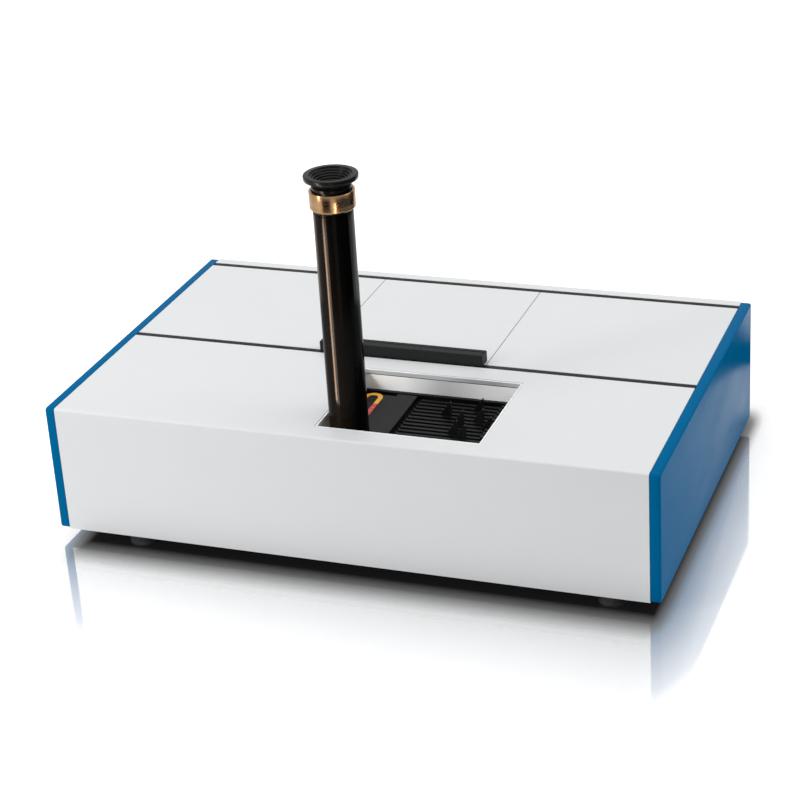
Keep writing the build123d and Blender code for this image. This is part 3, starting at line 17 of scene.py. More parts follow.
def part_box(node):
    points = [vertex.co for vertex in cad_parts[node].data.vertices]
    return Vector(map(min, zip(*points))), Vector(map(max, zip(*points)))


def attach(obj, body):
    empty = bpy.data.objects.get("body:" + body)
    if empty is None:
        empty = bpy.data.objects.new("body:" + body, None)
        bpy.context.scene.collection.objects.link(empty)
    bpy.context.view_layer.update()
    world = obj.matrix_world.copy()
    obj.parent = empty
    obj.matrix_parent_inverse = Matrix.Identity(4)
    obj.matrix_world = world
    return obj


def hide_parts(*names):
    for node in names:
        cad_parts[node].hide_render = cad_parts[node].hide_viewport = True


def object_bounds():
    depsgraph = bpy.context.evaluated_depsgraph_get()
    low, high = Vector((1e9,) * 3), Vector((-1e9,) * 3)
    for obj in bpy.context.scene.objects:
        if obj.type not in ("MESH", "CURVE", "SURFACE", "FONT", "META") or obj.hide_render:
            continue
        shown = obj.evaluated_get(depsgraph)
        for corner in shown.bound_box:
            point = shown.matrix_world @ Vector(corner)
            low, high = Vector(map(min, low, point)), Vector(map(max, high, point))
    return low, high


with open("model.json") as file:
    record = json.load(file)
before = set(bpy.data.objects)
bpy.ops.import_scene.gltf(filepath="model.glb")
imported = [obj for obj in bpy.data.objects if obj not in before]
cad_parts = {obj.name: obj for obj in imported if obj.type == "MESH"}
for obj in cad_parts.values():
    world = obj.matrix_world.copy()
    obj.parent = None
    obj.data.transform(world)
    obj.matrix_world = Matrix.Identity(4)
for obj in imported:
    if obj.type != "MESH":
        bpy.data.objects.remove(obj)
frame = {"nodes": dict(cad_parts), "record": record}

CAD_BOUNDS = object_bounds()
LOG = logging.getLogger("colorimeter")
MM = 0.001
Point = tuple[float, float, float]
Colour = tuple[float, float, float]


class Axis(Enum):
    """The direction that a grain or a row of marks runs along."""

    X = 0
    Y = 1
    Z = 2


# ------------------------------------------------------------------ node materials


class NodeBoard:
    """One material's node tree, with short calls that add and join its nodes."""

    def __init__(self, name: str) -> None:
        """Start a material with one Principled shader.

        Args:
            name: the material's name.
        """
        self.material = bpy.data.materials.new(name)
        self.material.use_nodes = True
        self.nodes = self.material.node_tree.nodes
        self.links = self.material.node_tree.links
        self.nodes.clear()
        self.output = self.nodes.new("ShaderNodeOutputMaterial")
        self.shader = self.nodes.new("ShaderNodeBsdfPrincipled")
        self.links.new(self.shader.outputs[0], self.output.inputs["Surface"])

    def constant(self, **values: float | tuple) -> None:
        """Set sockets of the shader, with underscores in place of spaces in their names."""
        for key, value in values.items():
            self.shader.inputs[key.replace("_", " ")].default_value = value

    def join(self, source: bpy.types.NodeSocket, target: bpy.types.NodeSocket) -> None:
        """Link one socket to another."""
        self.links.new(source, target)

    def place(self, stretch: Point = (1.0, 1.0, 1.0), centre: Point = (0.0, 0.0, 0.0)):
        """Give object coordinates, stretched about a centre.

        Args:
            stretch: factors along X, Y and Z.
            centre: the point that stays at zero, in metres.

        Returns:
            The vector socket.
        """
        where = self.nodes.new("ShaderNodeTexCoord")
        mapping = self.nodes.new("ShaderNodeMapping")
        mapping.inputs["Scale"].default_value = stretch
        mapping.inputs["Location"].default_value = tuple(-c * s for c, s in zip(centre, stretch))
        self.join(where.outputs["Object"], mapping.inputs["Vector"])
        return mapping.outputs["Vector"]

    def noise(self, where, scale: float, detail: float = 2.0, roughness: float = 0.5):
        """Add a noise texture and return its value socket.

        Args:
            where: vector socket that it reads.
            scale: cells per metre.
            detail: octaves.
            roughness: how much of each finer octave is kept.

        Returns:
            The value socket, about 0.5 on average.
        """
        node = self.nodes.new("ShaderNodeTexNoise")
        node.inputs["Scale"].default_value = scale
        node.inputs["Detail"].default_value = detail
        node.inputs["Roughness"].default_value = roughness
        self.join(where, node.inputs["Vector"])
        return node.outputs[0]

    def spread(self, value, low: float, high: float, start: float = 0.3, end: float = 0.7):
        """Map a value from start..end to low..high and return the socket."""
        node = self.nodes.new("ShaderNodeMapRange")
        node.inputs["From Min"].default_value = start
        node.inputs["From Max"].default_value = end
        node.inputs["To Min"].default_value = low
        node.inputs["To Max"].default_value = high
        self.join(value, node.inputs["Value"])
        return node.outputs[0]

    def blend(self, factor, first: Colour, second: Colour):
        """Mix two colours by a value socket and return the colour socket."""
        node = self.nodes.new("ShaderNodeMix")
        node.data_type = "RGBA"
        colours = [socket for socket in node.inputs if socket.type == "RGBA"]
        colours[0].default_value = (*first, 1.0)
        colours[1].default_value = (*second, 1.0)
        self.join(factor, node.inputs[0])
        return [socket for socket in node.outputs if socket.type == "RGBA"][0]

    def relief(self, height, strength: float, depth: float) -> None:
        """Add a bump to the shader.

        Args:
            height: value socket of the relief.
            strength: from 0 to 1.
            depth: the height in metres that a value of 1 stands for.
        """
        node = self.nodes.new("ShaderNodeBump")
        node.inputs["Strength"].default_value = strength
        node.inputs["Distance"].default_value = depth
        self.join(height, node.inputs["Height"])
        earlier = self.shader.inputs["Normal"]
        if earlier.is_linked:
            self.join(earlier.links[0].from_socket, node.inputs["Normal"])
        self.join(node.outputs[0], earlier)

    def colour(self, socket) -> None:
        """Feed the base colour."""
        self.join(socket, self.shader.inputs["Base Color"])

    def roughness(self, socket) -> None:
        """Feed the roughness."""
        self.join(socket, self.shader.inputs["Roughness"])


class Finish(Protocol):
    """Anything that can build one material."""

    name: str

    def build(self) -> bpy.types.Material:
        """Build the material."""


def darker(colour: Colour, share: float) -> Colour:
    """Scale a colour by one factor."""
    return tuple(c * share for c in colour)


@dataclass(frozen=True)
class Enamel:
    """Sprayed enamel: a faint orange peel, uneven sheen and a trace of handling."""

    name: str
    colour: Colour
    roughness: float = 0.38
    peel: float = 0.10
    grime: float = 0.97
    gloss_level: float = 0.4

    def build(self) -> bpy.types.Material:
        """Build the enamel."""
        board = NodeBoard(self.name)
        place = board.place()
        cloud = board.noise(place, 14.0, 4.0, 0.6)
        board.colour(board.blend(board.spread(cloud, 0.0, 1.0), self.colour,
                                 darker(self.colour, self.grime)))
        smear = board.noise(board.place((1.0, 0.35, 1.0)), 38.0, 5.0, 0.65)
        board.roughness(board.spread(smear, self.roughness - 0.05, self.roughness + 0.06))
        board.relief(board.noise(place, 620.0, 1.5), self.peel, 0.00012)
        board.constant(Specular_IOR_Level=self.gloss_level)
        return board.material


@dataclass(frozen=True)
class Grained:
    """Rolled or brushed sheet metal whose grain runs along one axis."""

    name: str
    colour: Colour
    grain: Axis = Axis.X
    roughness: float = 0.30
    metal: float = 1.0

    def build(self) -> bpy.types.Material:
        """Build the metal."""
        board = NodeBoard(self.name)
        stretch = [1.0, 1.0, 1.0]
        stretch[self.grain.value] = 0.02
        lines = board.noise(board.place(tuple(stretch)), 2400.0, 3.0, 0.6)
        stain = board.noise(board.place(), 30.0, 3.0)
        board.colour(board.blend(board.spread(stain, 0.0, 1.0), self.colour,
                                 darker(self.colour, 0.90)))
        board.roughness(board.spread(lines, self.roughness - 0.08, self.roughness + 0.10))
        board.relief(lines, 0.12, 0.00004)
        board.constant(Metallic=self.metal)
        return board.material


@dataclass(frozen=True)
class Turned:
    """Lathe-turned metal about an upright axis, with fine feed lines."""

    name: str
    colour: Colour
    roughness: float = 0.22
    tarnish: float = 0.72
    lines_per_metre: float = 4200.0
    relief: float = 0.18

    def build(self) -> bpy.types.Material:
        """Build the turned metal."""
        board = NodeBoard(self.name)
        feed = board.noise(board.place((0.03, 0.03, 1.0)), self.lines_per_metre, 2.0, 0.5)
        patch = board.noise(board.place(), 90.0, 4.0, 0.6)
        board.colour(board.blend(board.spread(patch, 0.0, 1.0), self.colour,
                                 darker(self.colour, self.tarnish)))
        board.roughness(board.spread(feed, self.roughness - 0.06, self.roughness + 0.12))
        board.relief(feed, self.relief, 0.00005)
        board.constant(Metallic=1.0)
        return board.material


@dataclass(frozen=True)
class Lacquer:
    """Polished black lacquer with a clear coat and a few specks of dust."""

    name: str
    colour: Colour
    roughness: float = 0.16
    gloss_level: float = 0.45
    coat: float = 0.35

    def build(self) -> bpy.types.Material:
        """Build the lacquer."""
        board = NodeBoard(self.name)
        dust = board.noise(board.place(), 900.0, 2.0, 0.7)
        board.colour(board.blend(board.spread(dust, 0.0, 1.0, 0.68, 0.80), self.colour,
                                 tuple(c + 0.02 for c in self.colour)))
        wipe = board.noise(board.place((1.0, 1.0, 0.25)), 70.0, 4.0, 0.6)
        board.roughness(board.spread(wipe, self.roughness - 0.04, self.roughness + 0.06))
        board.constant(Specular_IOR_Level=self.gloss_level, Coat_Weight=self.coat,
                       Coat_Roughness=0.08)
        return board.material


@dataclass(frozen=True)
class Moulded:
    """Moulded rubber or plastic with a fine matt grain."""

    name: str
    colour: Colour
    roughness: float = 0.62
    grain: float = 1500.0
    bloom: float = 0.03
    gloss_level: float = 0.35

    def build(self) -> bpy.types.Material:
        """Build the moulded material."""
        board = NodeBoard(self.name)
        place = board.place()
        haze = board.noise(place, 120.0, 4.0, 0.6)
        board.colour(board.blend(board.spread(haze, 0.0, 1.0, 0.4, 0.75), self.colour,
                                 tuple(c + self.bloom for c in self.colour)))
        board.roughness(board.spread(haze, self.roughness - 0.08, self.roughness + 0.08))
        board.relief(board.noise(place, self.grain, 2.0), 0.25, 0.00008)
        board.constant(Specular_IOR_Level=self.gloss_level)
        return board.material


@dataclass(frozen=True)
class Glass:
    """Clear or tinted optical glass with a faint film on its faces."""

    name: str
    colour: Colour
    index: float = 1.5

    def build(self) -> bpy.types.Material:
        """Build the glass."""
        board = NodeBoard(self.name)
        film = board.noise(board.place(), 220.0, 3.0)
        board.colour(board.blend(board.spread(film, 0.0, 1.0), self.colour,
                                 darker(self.colour, 0.95)))
        board.roughness(board.spread(film, 0.0, 0.05))
        board.constant(Transmission_Weight=1.0, IOR=self.index)
        return board.material


@dataclass(frozen=True)
class KeyEnamel:
    """Enamelled band that changes colour along Y: the second colour starts in front of the first."""

    name: str
    colours: tuple[Colour, Colour, Colour]
    borders: tuple[float, float]

    def build(self) -> bpy.types.Material:
        """Build the banded enamel. borders are the Y places, in metres, of the two joints."""
        board = NodeBoard(self.name)
        where = board.nodes.new("ShaderNodeTexCoord")
        split = board.nodes.new("ShaderNodeSeparateXYZ")
        board.join(where.outputs["Object"], split.inputs[0])
        along = split.outputs["Y"]
        back = board.spread(along, 0.0, 1.0, self.borders[0] - 0.0002, self.borders[0] + 0.0002)
        middle = board.spread(along, 0.0, 1.0, self.borders[1] - 0.0002, self.borders[1] + 0.0002)
        first = board.nodes.new("ShaderNodeMix")
        first.data_type = "RGBA"
        tones = [socket for socket in first.inputs if socket.type == "RGBA"]
        board.join(board.blend(middle, self.colours[2], self.colours[1]), tones[0])
        tones[1].default_value = (*self.colours[0], 1.0)
        board.join(back, first.inputs[0])
        board.colour([socket for socket in first.outputs if socket.type == "RGBA"][0])
        board.roughness(board.spread(board.noise(board.place(), 300.0), 0.22, 0.34))
        board.relief(board.noise(board.place(), 500.0), 0.15, 0.0001)
        return board.material


@dataclass(frozen=True)
class Winding:
    """Varnished tape over a coil, wound in upright turns."""

    name: str
    colour: Colour

    def build(self) -> bpy.types.Material:
        """Build the taped winding."""
        board = NodeBoard(self.name)
        turns = board.noise(board.place((0.05, 0.05, 1.0)), 260.0, 2.0)
        board.colour(board.blend(board.spread(turns, 0.0, 1.0), self.colour,
                                 darker(self.colour, 0.6)))
        board.relief(turns, 0.5, 0.0004)
        board.constant(Roughness=0.42)
        return board.material


FINISHES: dict[str, Finish] = {
    "blue_side": Enamel("blue_side_enamel", (0.0, 0.138, 0.330), 0.20, 0.04, 0.96, 0.008),
    "body_paint": Enamel("case_enamel", (0.800, 0.812, 0.818), 0.42, 0.10, 0.985, 0.35),
    "plain_steel": Grained("zinc_sheet", (0.60, 0.60, 0.58), Axis.X, 0.38),
    "charcoal": Enamel("strip_enamel", (0.0075, 0.0075, 0.008), 0.42, 0.12, 0.80, 0.10),
    "handle_bar": Enamel("handle_enamel", (0.027, 0.028, 0.028), 0.28, 0.12, 0.85, 0.03),
    "foot_rubber": Moulded("foot_rubber", (0.016, 0.016, 0.017), 0.70),
    "screw_steel": Turned("screw_steel", (0.62, 0.61, 0.58), 0.28, 0.85, 2600.0),
    "black_satin": Enamel("black_satin_enamel", (0.006, 0.006, 0.0064), 0.42, 0.16, 0.75, 0.12),
    "bright_steel": Grained("well_sheet", (0.93, 0.93, 0.92), Axis.X, 0.42, 0.0),
    "key_colours": KeyEnamel("key_band_enamel",
                             ((0.86, 0.43, 0.015), (0.62, 0.035, 0.02), (0.02, 0.12, 0.45)),
                             (-0.0645, -0.0905)),
    "clear_glass": Glass("optical_glass", (0.97, 0.985, 0.99), 1.52),
    "black_gloss": Lacquer("black_lacquer", (0.0012, 0.0012, 0.0012), 0.11, 0.035, 0.0),
    "brass": Turned("turned_brass", (0.34, 0.205, 0.105), 0.19, 0.86, 4200.0, 0.08),
    "eyecup_rubber": Moulded("eyecup_rubber", (0.0035, 0.0035, 0.0035), 0.25, 1900.0, 0.003, 0.09),
    "lamp_glass": Glass("lamp_glass", (0.99, 0.98, 0.95), 1.47),
    "white_reference": Moulded("white_reference", (0.90, 0.90, 0.89), 0.85, 2600.0, 0.0),
    "core_steel": Winding("transformer_varnish", (0.16, 0.10, 0.05)),
    "rack_black": Enamel("rack_enamel", (0.010, 0.010, 0.011), 0.34, 0.12, 0.75, 0.35),
    "neutral_glass": Glass("neutral_glass", (0.42, 0.42, 0.43)),
    "blue_glass": Glass("blue_glass", (0.10, 0.28, 0.75)),
    "red_glass": Glass("red_glass", (0.78, 0.08, 0.06)),
    "yellow_glass": Glass("yellow_glass", (0.92, 0.74, 0.08)),
}


class Palette:
    """Builds each finish once and hands it out by the record's slot name."""

    def __init__(self, finishes: dict[str, Finish]) -> None:
        """Keep the finishes; none is built before it is used."""
        self.finishes = finishes
        self.built: dict[str, bpy.types.Material] = {}

    def get(self, slot: str) -> bpy.types.Material:
        """Give the material of a slot."""
        if slot not in self.built:
            self.built[slot] = self.finishes[slot].build()
        return self.built[slot]


# ------------------------------------------------------------------ surfaces


@dataclass
class Surface:
    """A mesh in the making: points as one array, and faces as tuples of their indices."""

    points: np.ndarray
    faces: list[tuple[int, ...]]

    def moved(self, offset: Point) -> "Surface":
        """Give a copy moved by an offset in metres."""
        return Surface(self.points + np.asarray(offset), self.faces)

    def turned(self, matrix: Matrix) -> "Surface":
        """Give a copy turned by a 3 by 3 rotation about the origin."""
        return Surface(self.points @ np.array(matrix.to_3x3()).T, self.faces)

    @staticmethod
    def joined(parts: Sequence["Surface"]) -> "Surface":
        """Put several surfaces into one, with their indices shifted."""
        starts = np.cumsum([0] + [len(part.points) for part in parts])
        faces = [tuple(i + int(start) for i in face)
                 for part, start in zip(parts, starts) for face in part.faces]
        return Surface(np.concatenate([part.points for part in parts]), faces)


def stacked(loops: np.ndarray, closed_ends: bool = True) -> Surface:
    """Skin a stack of closed loops.

    The point of ring i and column j is loops[i, j]; each face joins (i, j), (i, j+1), (i+1, j+1)
    and (i+1, j), with j wrapping round.

    Args:
        loops: array of rings by columns by 3, anticlockwise as seen from the last ring.
        closed_ends: whether a flat face closes each end.

    Returns:
        The skin, facing outwards.
    """
    rings, columns = loops.shape[:2]
    i, j = np.meshgrid(np.arange(rings - 1), np.arange(columns), indexing="ij")
    after = (j + 1) % columns
    quads = np.stack([i * columns + j, i * columns + after, (i + 1) * columns + after,
                      (i + 1) * columns + j], axis=-1).reshape(-1, 4)
    faces = [tuple(quad) for quad in quads.tolist()]
    if closed_ends:
        last = (rings - 1) * columns
        faces.append(tuple(range(columns - 1, -1, -1)))
        faces.append(tuple(range(last, last + columns)))
    return Surface(loops.reshape(-1, 3), faces)


def lathe(profile: Sequence[tuple[float, float]], sides: int = 96) -> Surface:
    """Turn a closed profile about Z.

    The point at step k and angle a is (r[k] cos a, r[k] sin a, z[k]); the profile's end joins its
    start, so it makes a ring, and a profile that starts and ends on the axis makes a solid.

    Args:
        profile: (radius, height) pairs in metres, going up on the outside.
        sides: number of steps round.

    Returns:
        The turned surface, centred on the Z axis.
    """
    radius, height = np.array(profile, dtype=float).T
    angle = np.linspace(0.0, 2.0 * math.pi, sides, endpoint=False)
    loops = np.stack([radius[:, None] * np.cos(angle), radius[:, None] * np.sin(angle),
                      np.repeat(height[:, None], sides, axis=1)], axis=-1)
    if radius[0] < 1e-7 and radius[-1] < 1e-7:
        body = stacked(loops[1:-1], closed_ends=False)
        count = len(body.points)
        ends = np.array([[0.0, 0.0, height[0]], [0.0, 0.0, height[-1]]])
        faces = list(body.faces)
        last = count - sides
        faces += [(count, (k + 1) % sides, k) for k in range(sides)]
        faces += [(count + 1, last + k, last + (k + 1) % sides) for k in range(sides)]
        return Surface(np.concatenate([body.points, ends]), faces)
    return stacked(np.concatenate([loops, loops[:1]]), closed_ends=False)


def rounded_outline(width: float, height: float, radius: float, steps: int = 6) -> np.ndarray:
    """Give a rounded rectangle's outline about the origin, anticlockwise.

    Each corner is a quarter circle: its centre plus radius times (cos a, sin a).

    Args:
        width: size along the first axis.
        height: size along the second axis.
        radius: corner radius.
        steps: points per corner, less one.

    Returns:
        Array of points by 2.
    """
    turn = np.linspace(0.0, math.pi / 2.0, steps + 1)
    centres = np.array([[1, 1], [-1, 1], [-1, -1], [1, -1]]) * (
        np.array([width, height]) / 2.0 - radius)
    angles = turn[None, :] + np.arange(4)[:, None] * math.pi / 2.0
    arcs = centres[:, None, :] + radius * np.stack([np.cos(angles), np.sin(angles)], axis=-1)
    return arcs.reshape(-1, 2)


def soft_slab(size: Point, corner: float, edge_low: float, edge_high: float,
              steps: int = 4) -> Surface:
    """Make a slab whose outline is a rounded rectangle and whose upper and lower edges are round.

    At height z the outline is inset by e - sqrt(e^2 - (e - d)^2), where d is the distance from the
    nearer flat face and e that face's edge radius.

    Args:
        size: width, depth and thickness in metres.
        corner: radius of the outline's corners.
        edge_low: edge radius at the bottom.
        edge_high: edge radius at the top.
        steps: rings per rounded edge.

    Returns:
        The slab, standing on Z = 0 and centred on Z.
    """
    bend = np.linspace(0.0, math.pi / 2.0, steps + 1)
    low = np.stack([edge_low * (1.0 - np.sin(bend)), edge_low * (1.0 - np.cos(bend))], axis=-1)
    high = np.stack([edge_high * (1.0 - np.cos(bend)),
                     size[2] - edge_high * (1.0 - np.sin(bend))], axis=-1)
    rims = np.concatenate([low, high])
    loops = []
    for inset, level in rims:
        outline = rounded_outline(size[0] - 2.0 * inset, size[1] - 2.0 * inset,
                                  max(corner - inset, 1e-5))
        loops.append(np.column_stack([outline, np.full(len(outline), level)]))
    return stacked(np.array(loops))


def extruded(outline: np.ndarray, low: float, high: float) -> Surface:
    """Extrude an anticlockwise outline in XY from one height to another."""
    loops = [np.column_stack([outline, np.full(len(outline), level)]) for level in (low, high)]
    return stacked(np.array(loops))


X_UP = Matrix(((0, 0, 1), (1, 0, 0), (0, 1, 0)))


@dataclass
class Workshop:
    """Turns surfaces into Blender objects that ride on the frame."""

    palette: Palette

    def piece(self, name: str, surface: Surface, slot: str, body: str,
              stands_for: Sequence[str] = (), crease: float = 32.0,
              finish: str = "") -> bpy.types.Object:
        """Make one piece.

        Args:
            name: the piece's name.
            surface: its mesh, in the frame's place.
            slot: the record's slot, which is also its finish.
            body: the body that it rides on.
            stands_for: CAD nodes that it replaces.
            crease: edges sharper than this angle, in degrees, stay crisp.
            finish: the finish, where it isn't the slot's usual one.

        Returns:
            The new object.
        """
        mesh = bpy.data.meshes.new(name)
        mesh.from_pydata(surface.points.tolist(), [], surface.faces)
        mesh.polygons.foreach_set("use_smooth", np.ones(len(mesh.polygons), dtype=bool))
        mesh.set_sharp_from_angle(angle=math.radians(crease))
        mesh.materials.append(self.palette.get(finish or slot))
        piece = bpy.data.objects.new(name, mesh)
        bpy.context.scene.collection.objects.link(piece)
        if stands_for:
            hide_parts(*stands_for)
        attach(piece, body)
        LOG.info("%s: %d faces, on %s", name, len(mesh.polygons), body)
        return piece


# ------------------------------------------------------------------ sub-assemblies


def middle(node: str) -> Vector:
    """Give the centre of a CAD node's box."""
    low, high = (Vector(corner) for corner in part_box(node))
    return (low + high) / 2.0


@dataclass
class SidePanels:
    """The two thick blue side panels, with softly rounded outer edges."""

    corner: float = 3.0 * MM
    outer_edge: float = 1.8 * MM
    inner_edge: float = 0.4 * MM

    def panel(self, node: str) -> Surface:
        """Fit one panel to its CAD node's box, with its rounder edge outwards.

        Args:
            node: the CAD node.

        Returns:
            The panel's surface.
        """
        low, high = (Vector(corner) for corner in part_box(node))
        size = high - low
        outwards = 1.0 if low.x > 0.0 else -1.0
        edges = (self.inner_edge, self.outer_edge) if outwards > 0 else (
            self.outer_edge, self.inner_edge)
        slab = soft_slab((size.y, size.z, size.x), self.corner, *edges)
        return slab.turned(X_UP).moved((low.x, (low.y + high.y) / 2.0,
                                                 (low.z + high.z) / 2.0))

    def build(self, shop: Workshop) -> None:
        """Make both panels."""
        for side in ("left", "right"):
            node = f"side_panel_{side}"
            shop.piece(f"blue_panel_{side}", self.panel(node), "blue_side", "case", [node])


@dataclass
class HandleBar:
    """The black bar along the lid's front edge, chamfered, with one groove along its top."""

    chamfer: float = 0.6 * MM
    groove_at: float = 0.62
    groove_width: float = 1.2 * MM
    groove_depth: float = 0.7 * MM
    lip: float = 0.6 * MM

    def build(self, shop: Workshop) -> None:
        """Make the bar as a row of cross-sections that shrink at both ends."""
        low, high = (Vector(corner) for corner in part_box("lid_handle"))
        lid_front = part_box("lid")[0][1]
        seat = low.z + self.lip
        groove = low.y + (high.y - low.y) * self.groove_at
        half = self.groove_width / 2.0
        cut, deep = self.chamfer, self.groove_depth
        section = np.array([
            (low.y, low.z + 0.3 * MM), (low.y + 0.3 * MM, low.z),
            (lid_front - 0.1 * MM, low.z), (lid_front - 0.1 * MM, seat), (high.y, seat),
            (high.y, high.z - cut), (high.y - cut, high.z),
            (groove + half, high.z), (groove + half * 0.6, high.z - deep),
            (groove - half * 0.6, high.z - deep), (groove - half, high.z),
            (low.y + cut, high.z), (low.y, high.z - cut)])
        centre = np.array([(low.y + high.y) / 2.0, low.z])
        stations = [(low.x, cut), (low.x + cut, 0.0), (high.x - cut, 0.0), (high.x, cut)]
        loops = []
        for x, inset in stations:
            ring = section.copy()
            ring[:, 1] = np.minimum(ring[:, 1], high.z - inset)
            ring[:, 0] = centre[0] + (ring[:, 0] - centre[0]) * (1.0 - inset / 9.0)
            loops.append(np.column_stack([np.full(len(ring), x), ring]))
        surface = stacked(np.array(loops))
        shop.piece("handle_bar", surface, "charcoal", "lid", ["lid_handle"], 25.0,
                   "handle_bar")


@dataclass
class DeckStrips:
    """Black rubber strips that fill the two long recesses of the deck, on the rails."""

    inset: float = 0.15 * MM
    height: float = 0.62 * MM
    edge: float = 0.2 * MM
    handle_gap: float = 0.4 * MM
    # Width of the black bars laid in the lid's side gaps as painted shade
    gap_shade_width: float = 0.42 * MM

    def strip(self, x: tuple[float, float], y: tuple[float, float]) -> Surface:
        """Lay one strip between two places along X and two along Y, on the front rail's top."""
        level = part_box("front_rail")[1][2]
        slab = soft_slab((x[1] - x[0], y[1] - y[0], self.height), 0.3 * MM, 0.05 * MM, self.edge)
        return slab.moved(((x[0] + x[1]) / 2.0, (y[0] + y[1]) / 2.0, level))

    def gap_shade_bars(self) -> list[Surface]:
        """Lay two black bars along the lid's sides, in the gaps between it and the deck panels, as
        painted shade in those gaps.
        """
        lid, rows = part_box("lid"), []
        for x in (lid[0][0] - 0.3 * MM, lid[1][0] + 0.3 * MM):
            bar = soft_slab((self.gap_shade_width, lid[1][1] - lid[0][1] - 0.4 * MM, 1.3 * MM), 0.1 * MM,
                            0.05 * MM, 0.05 * MM)
            rows.append(bar.moved((x, (lid[0][1] + lid[1][1]) / 2.0, lid[0][2] + 0.05 * MM)))
        return rows

    def build(self, shop: Workshop) -> None:
        """Make the front strip in two lengths, beside the handle, the rear strip and the black bars
        that paint the shade in the lid's side gaps.
        """
        ends = (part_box("front_cover")[0][0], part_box("front_cover")[1][0])
        front = (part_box("front_cover")[1][1] + self.inset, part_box("lid")[0][1] - self.inset)
        rear = (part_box("lid")[1][1] + self.inset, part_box("rear_cover")[0][1] - self.inset)
        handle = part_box("lid_handle")
        parts = [self.strip((ends[0], handle[0][0] - self.handle_gap), front),
                 self.strip((handle[1][0] + self.handle_gap, ends[1]), front),
                 self.strip(ends, rear)]
        shop.piece("deck_strips", Surface.joined(parts), "charcoal", "case")
        # Black bars in the lid's side gaps: painted shade.
        shop.piece("lid_side_seals", Surface.joined(self.gap_shade_bars()), "charcoal", "case")


@dataclass
class WellRim:
    """The well's turned-down painted edge, and a black band below it that paints the shadow gap under
    the fold.
    """

    sheet: float = 1.0 * MM
    fold: tuple[float, float] = (117.5 * MM, 121.0 * MM)
    # A black band in place of the shadow gap under the fold: painted shadow
    shadow_line: tuple[float, float] = (116.9 * MM, 117.4 * MM)

    def ring(self, thickness: float, levels: tuple[float, float]) -> Surface:
        """Make a band that lies against the liner's inner walls.

        Args:
            thickness: how far it stands out from the wall.
            levels: its lower and upper edge.

        Returns:
            The band: four loops, outer low, inner low, inner high and outer high.
        """
        low, high = (Vector(corner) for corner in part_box("well_liner"))
        wide = np.array([high.x - low.x, high.y - low.y]) - 2.0 * self.sheet - 0.04 * MM
        centre = ((low.x + high.x) / 2.0, (low.y + high.y) / 2.0, 0.0)
        loops = []
        for inset, level in ((0.0, levels[0]), (0.0, levels[1]), (thickness, levels[1]),
                             (thickness, levels[0]), (0.0, levels[0])):
            outline = rounded_outline(wide[0] - 2.0 * inset, wide[1] - 2.0 * inset, 0.2 * MM, 3)
            loops.append(np.column_stack([outline, np.full(len(outline), level)]))
        return stacked(np.array(loops), closed_ends=False).moved(centre)

    def build(self, shop: Workshop) -> None:
        """Make both bands."""
        shop.piece("well_fold", self.ring(0.30 * MM, self.fold), "body_paint", "case")
        # The black band paints the shadow gap under the fold.
        shop.piece("well_gasket", self.ring(0.16 * MM, self.shadow_line), "charcoal", "case")


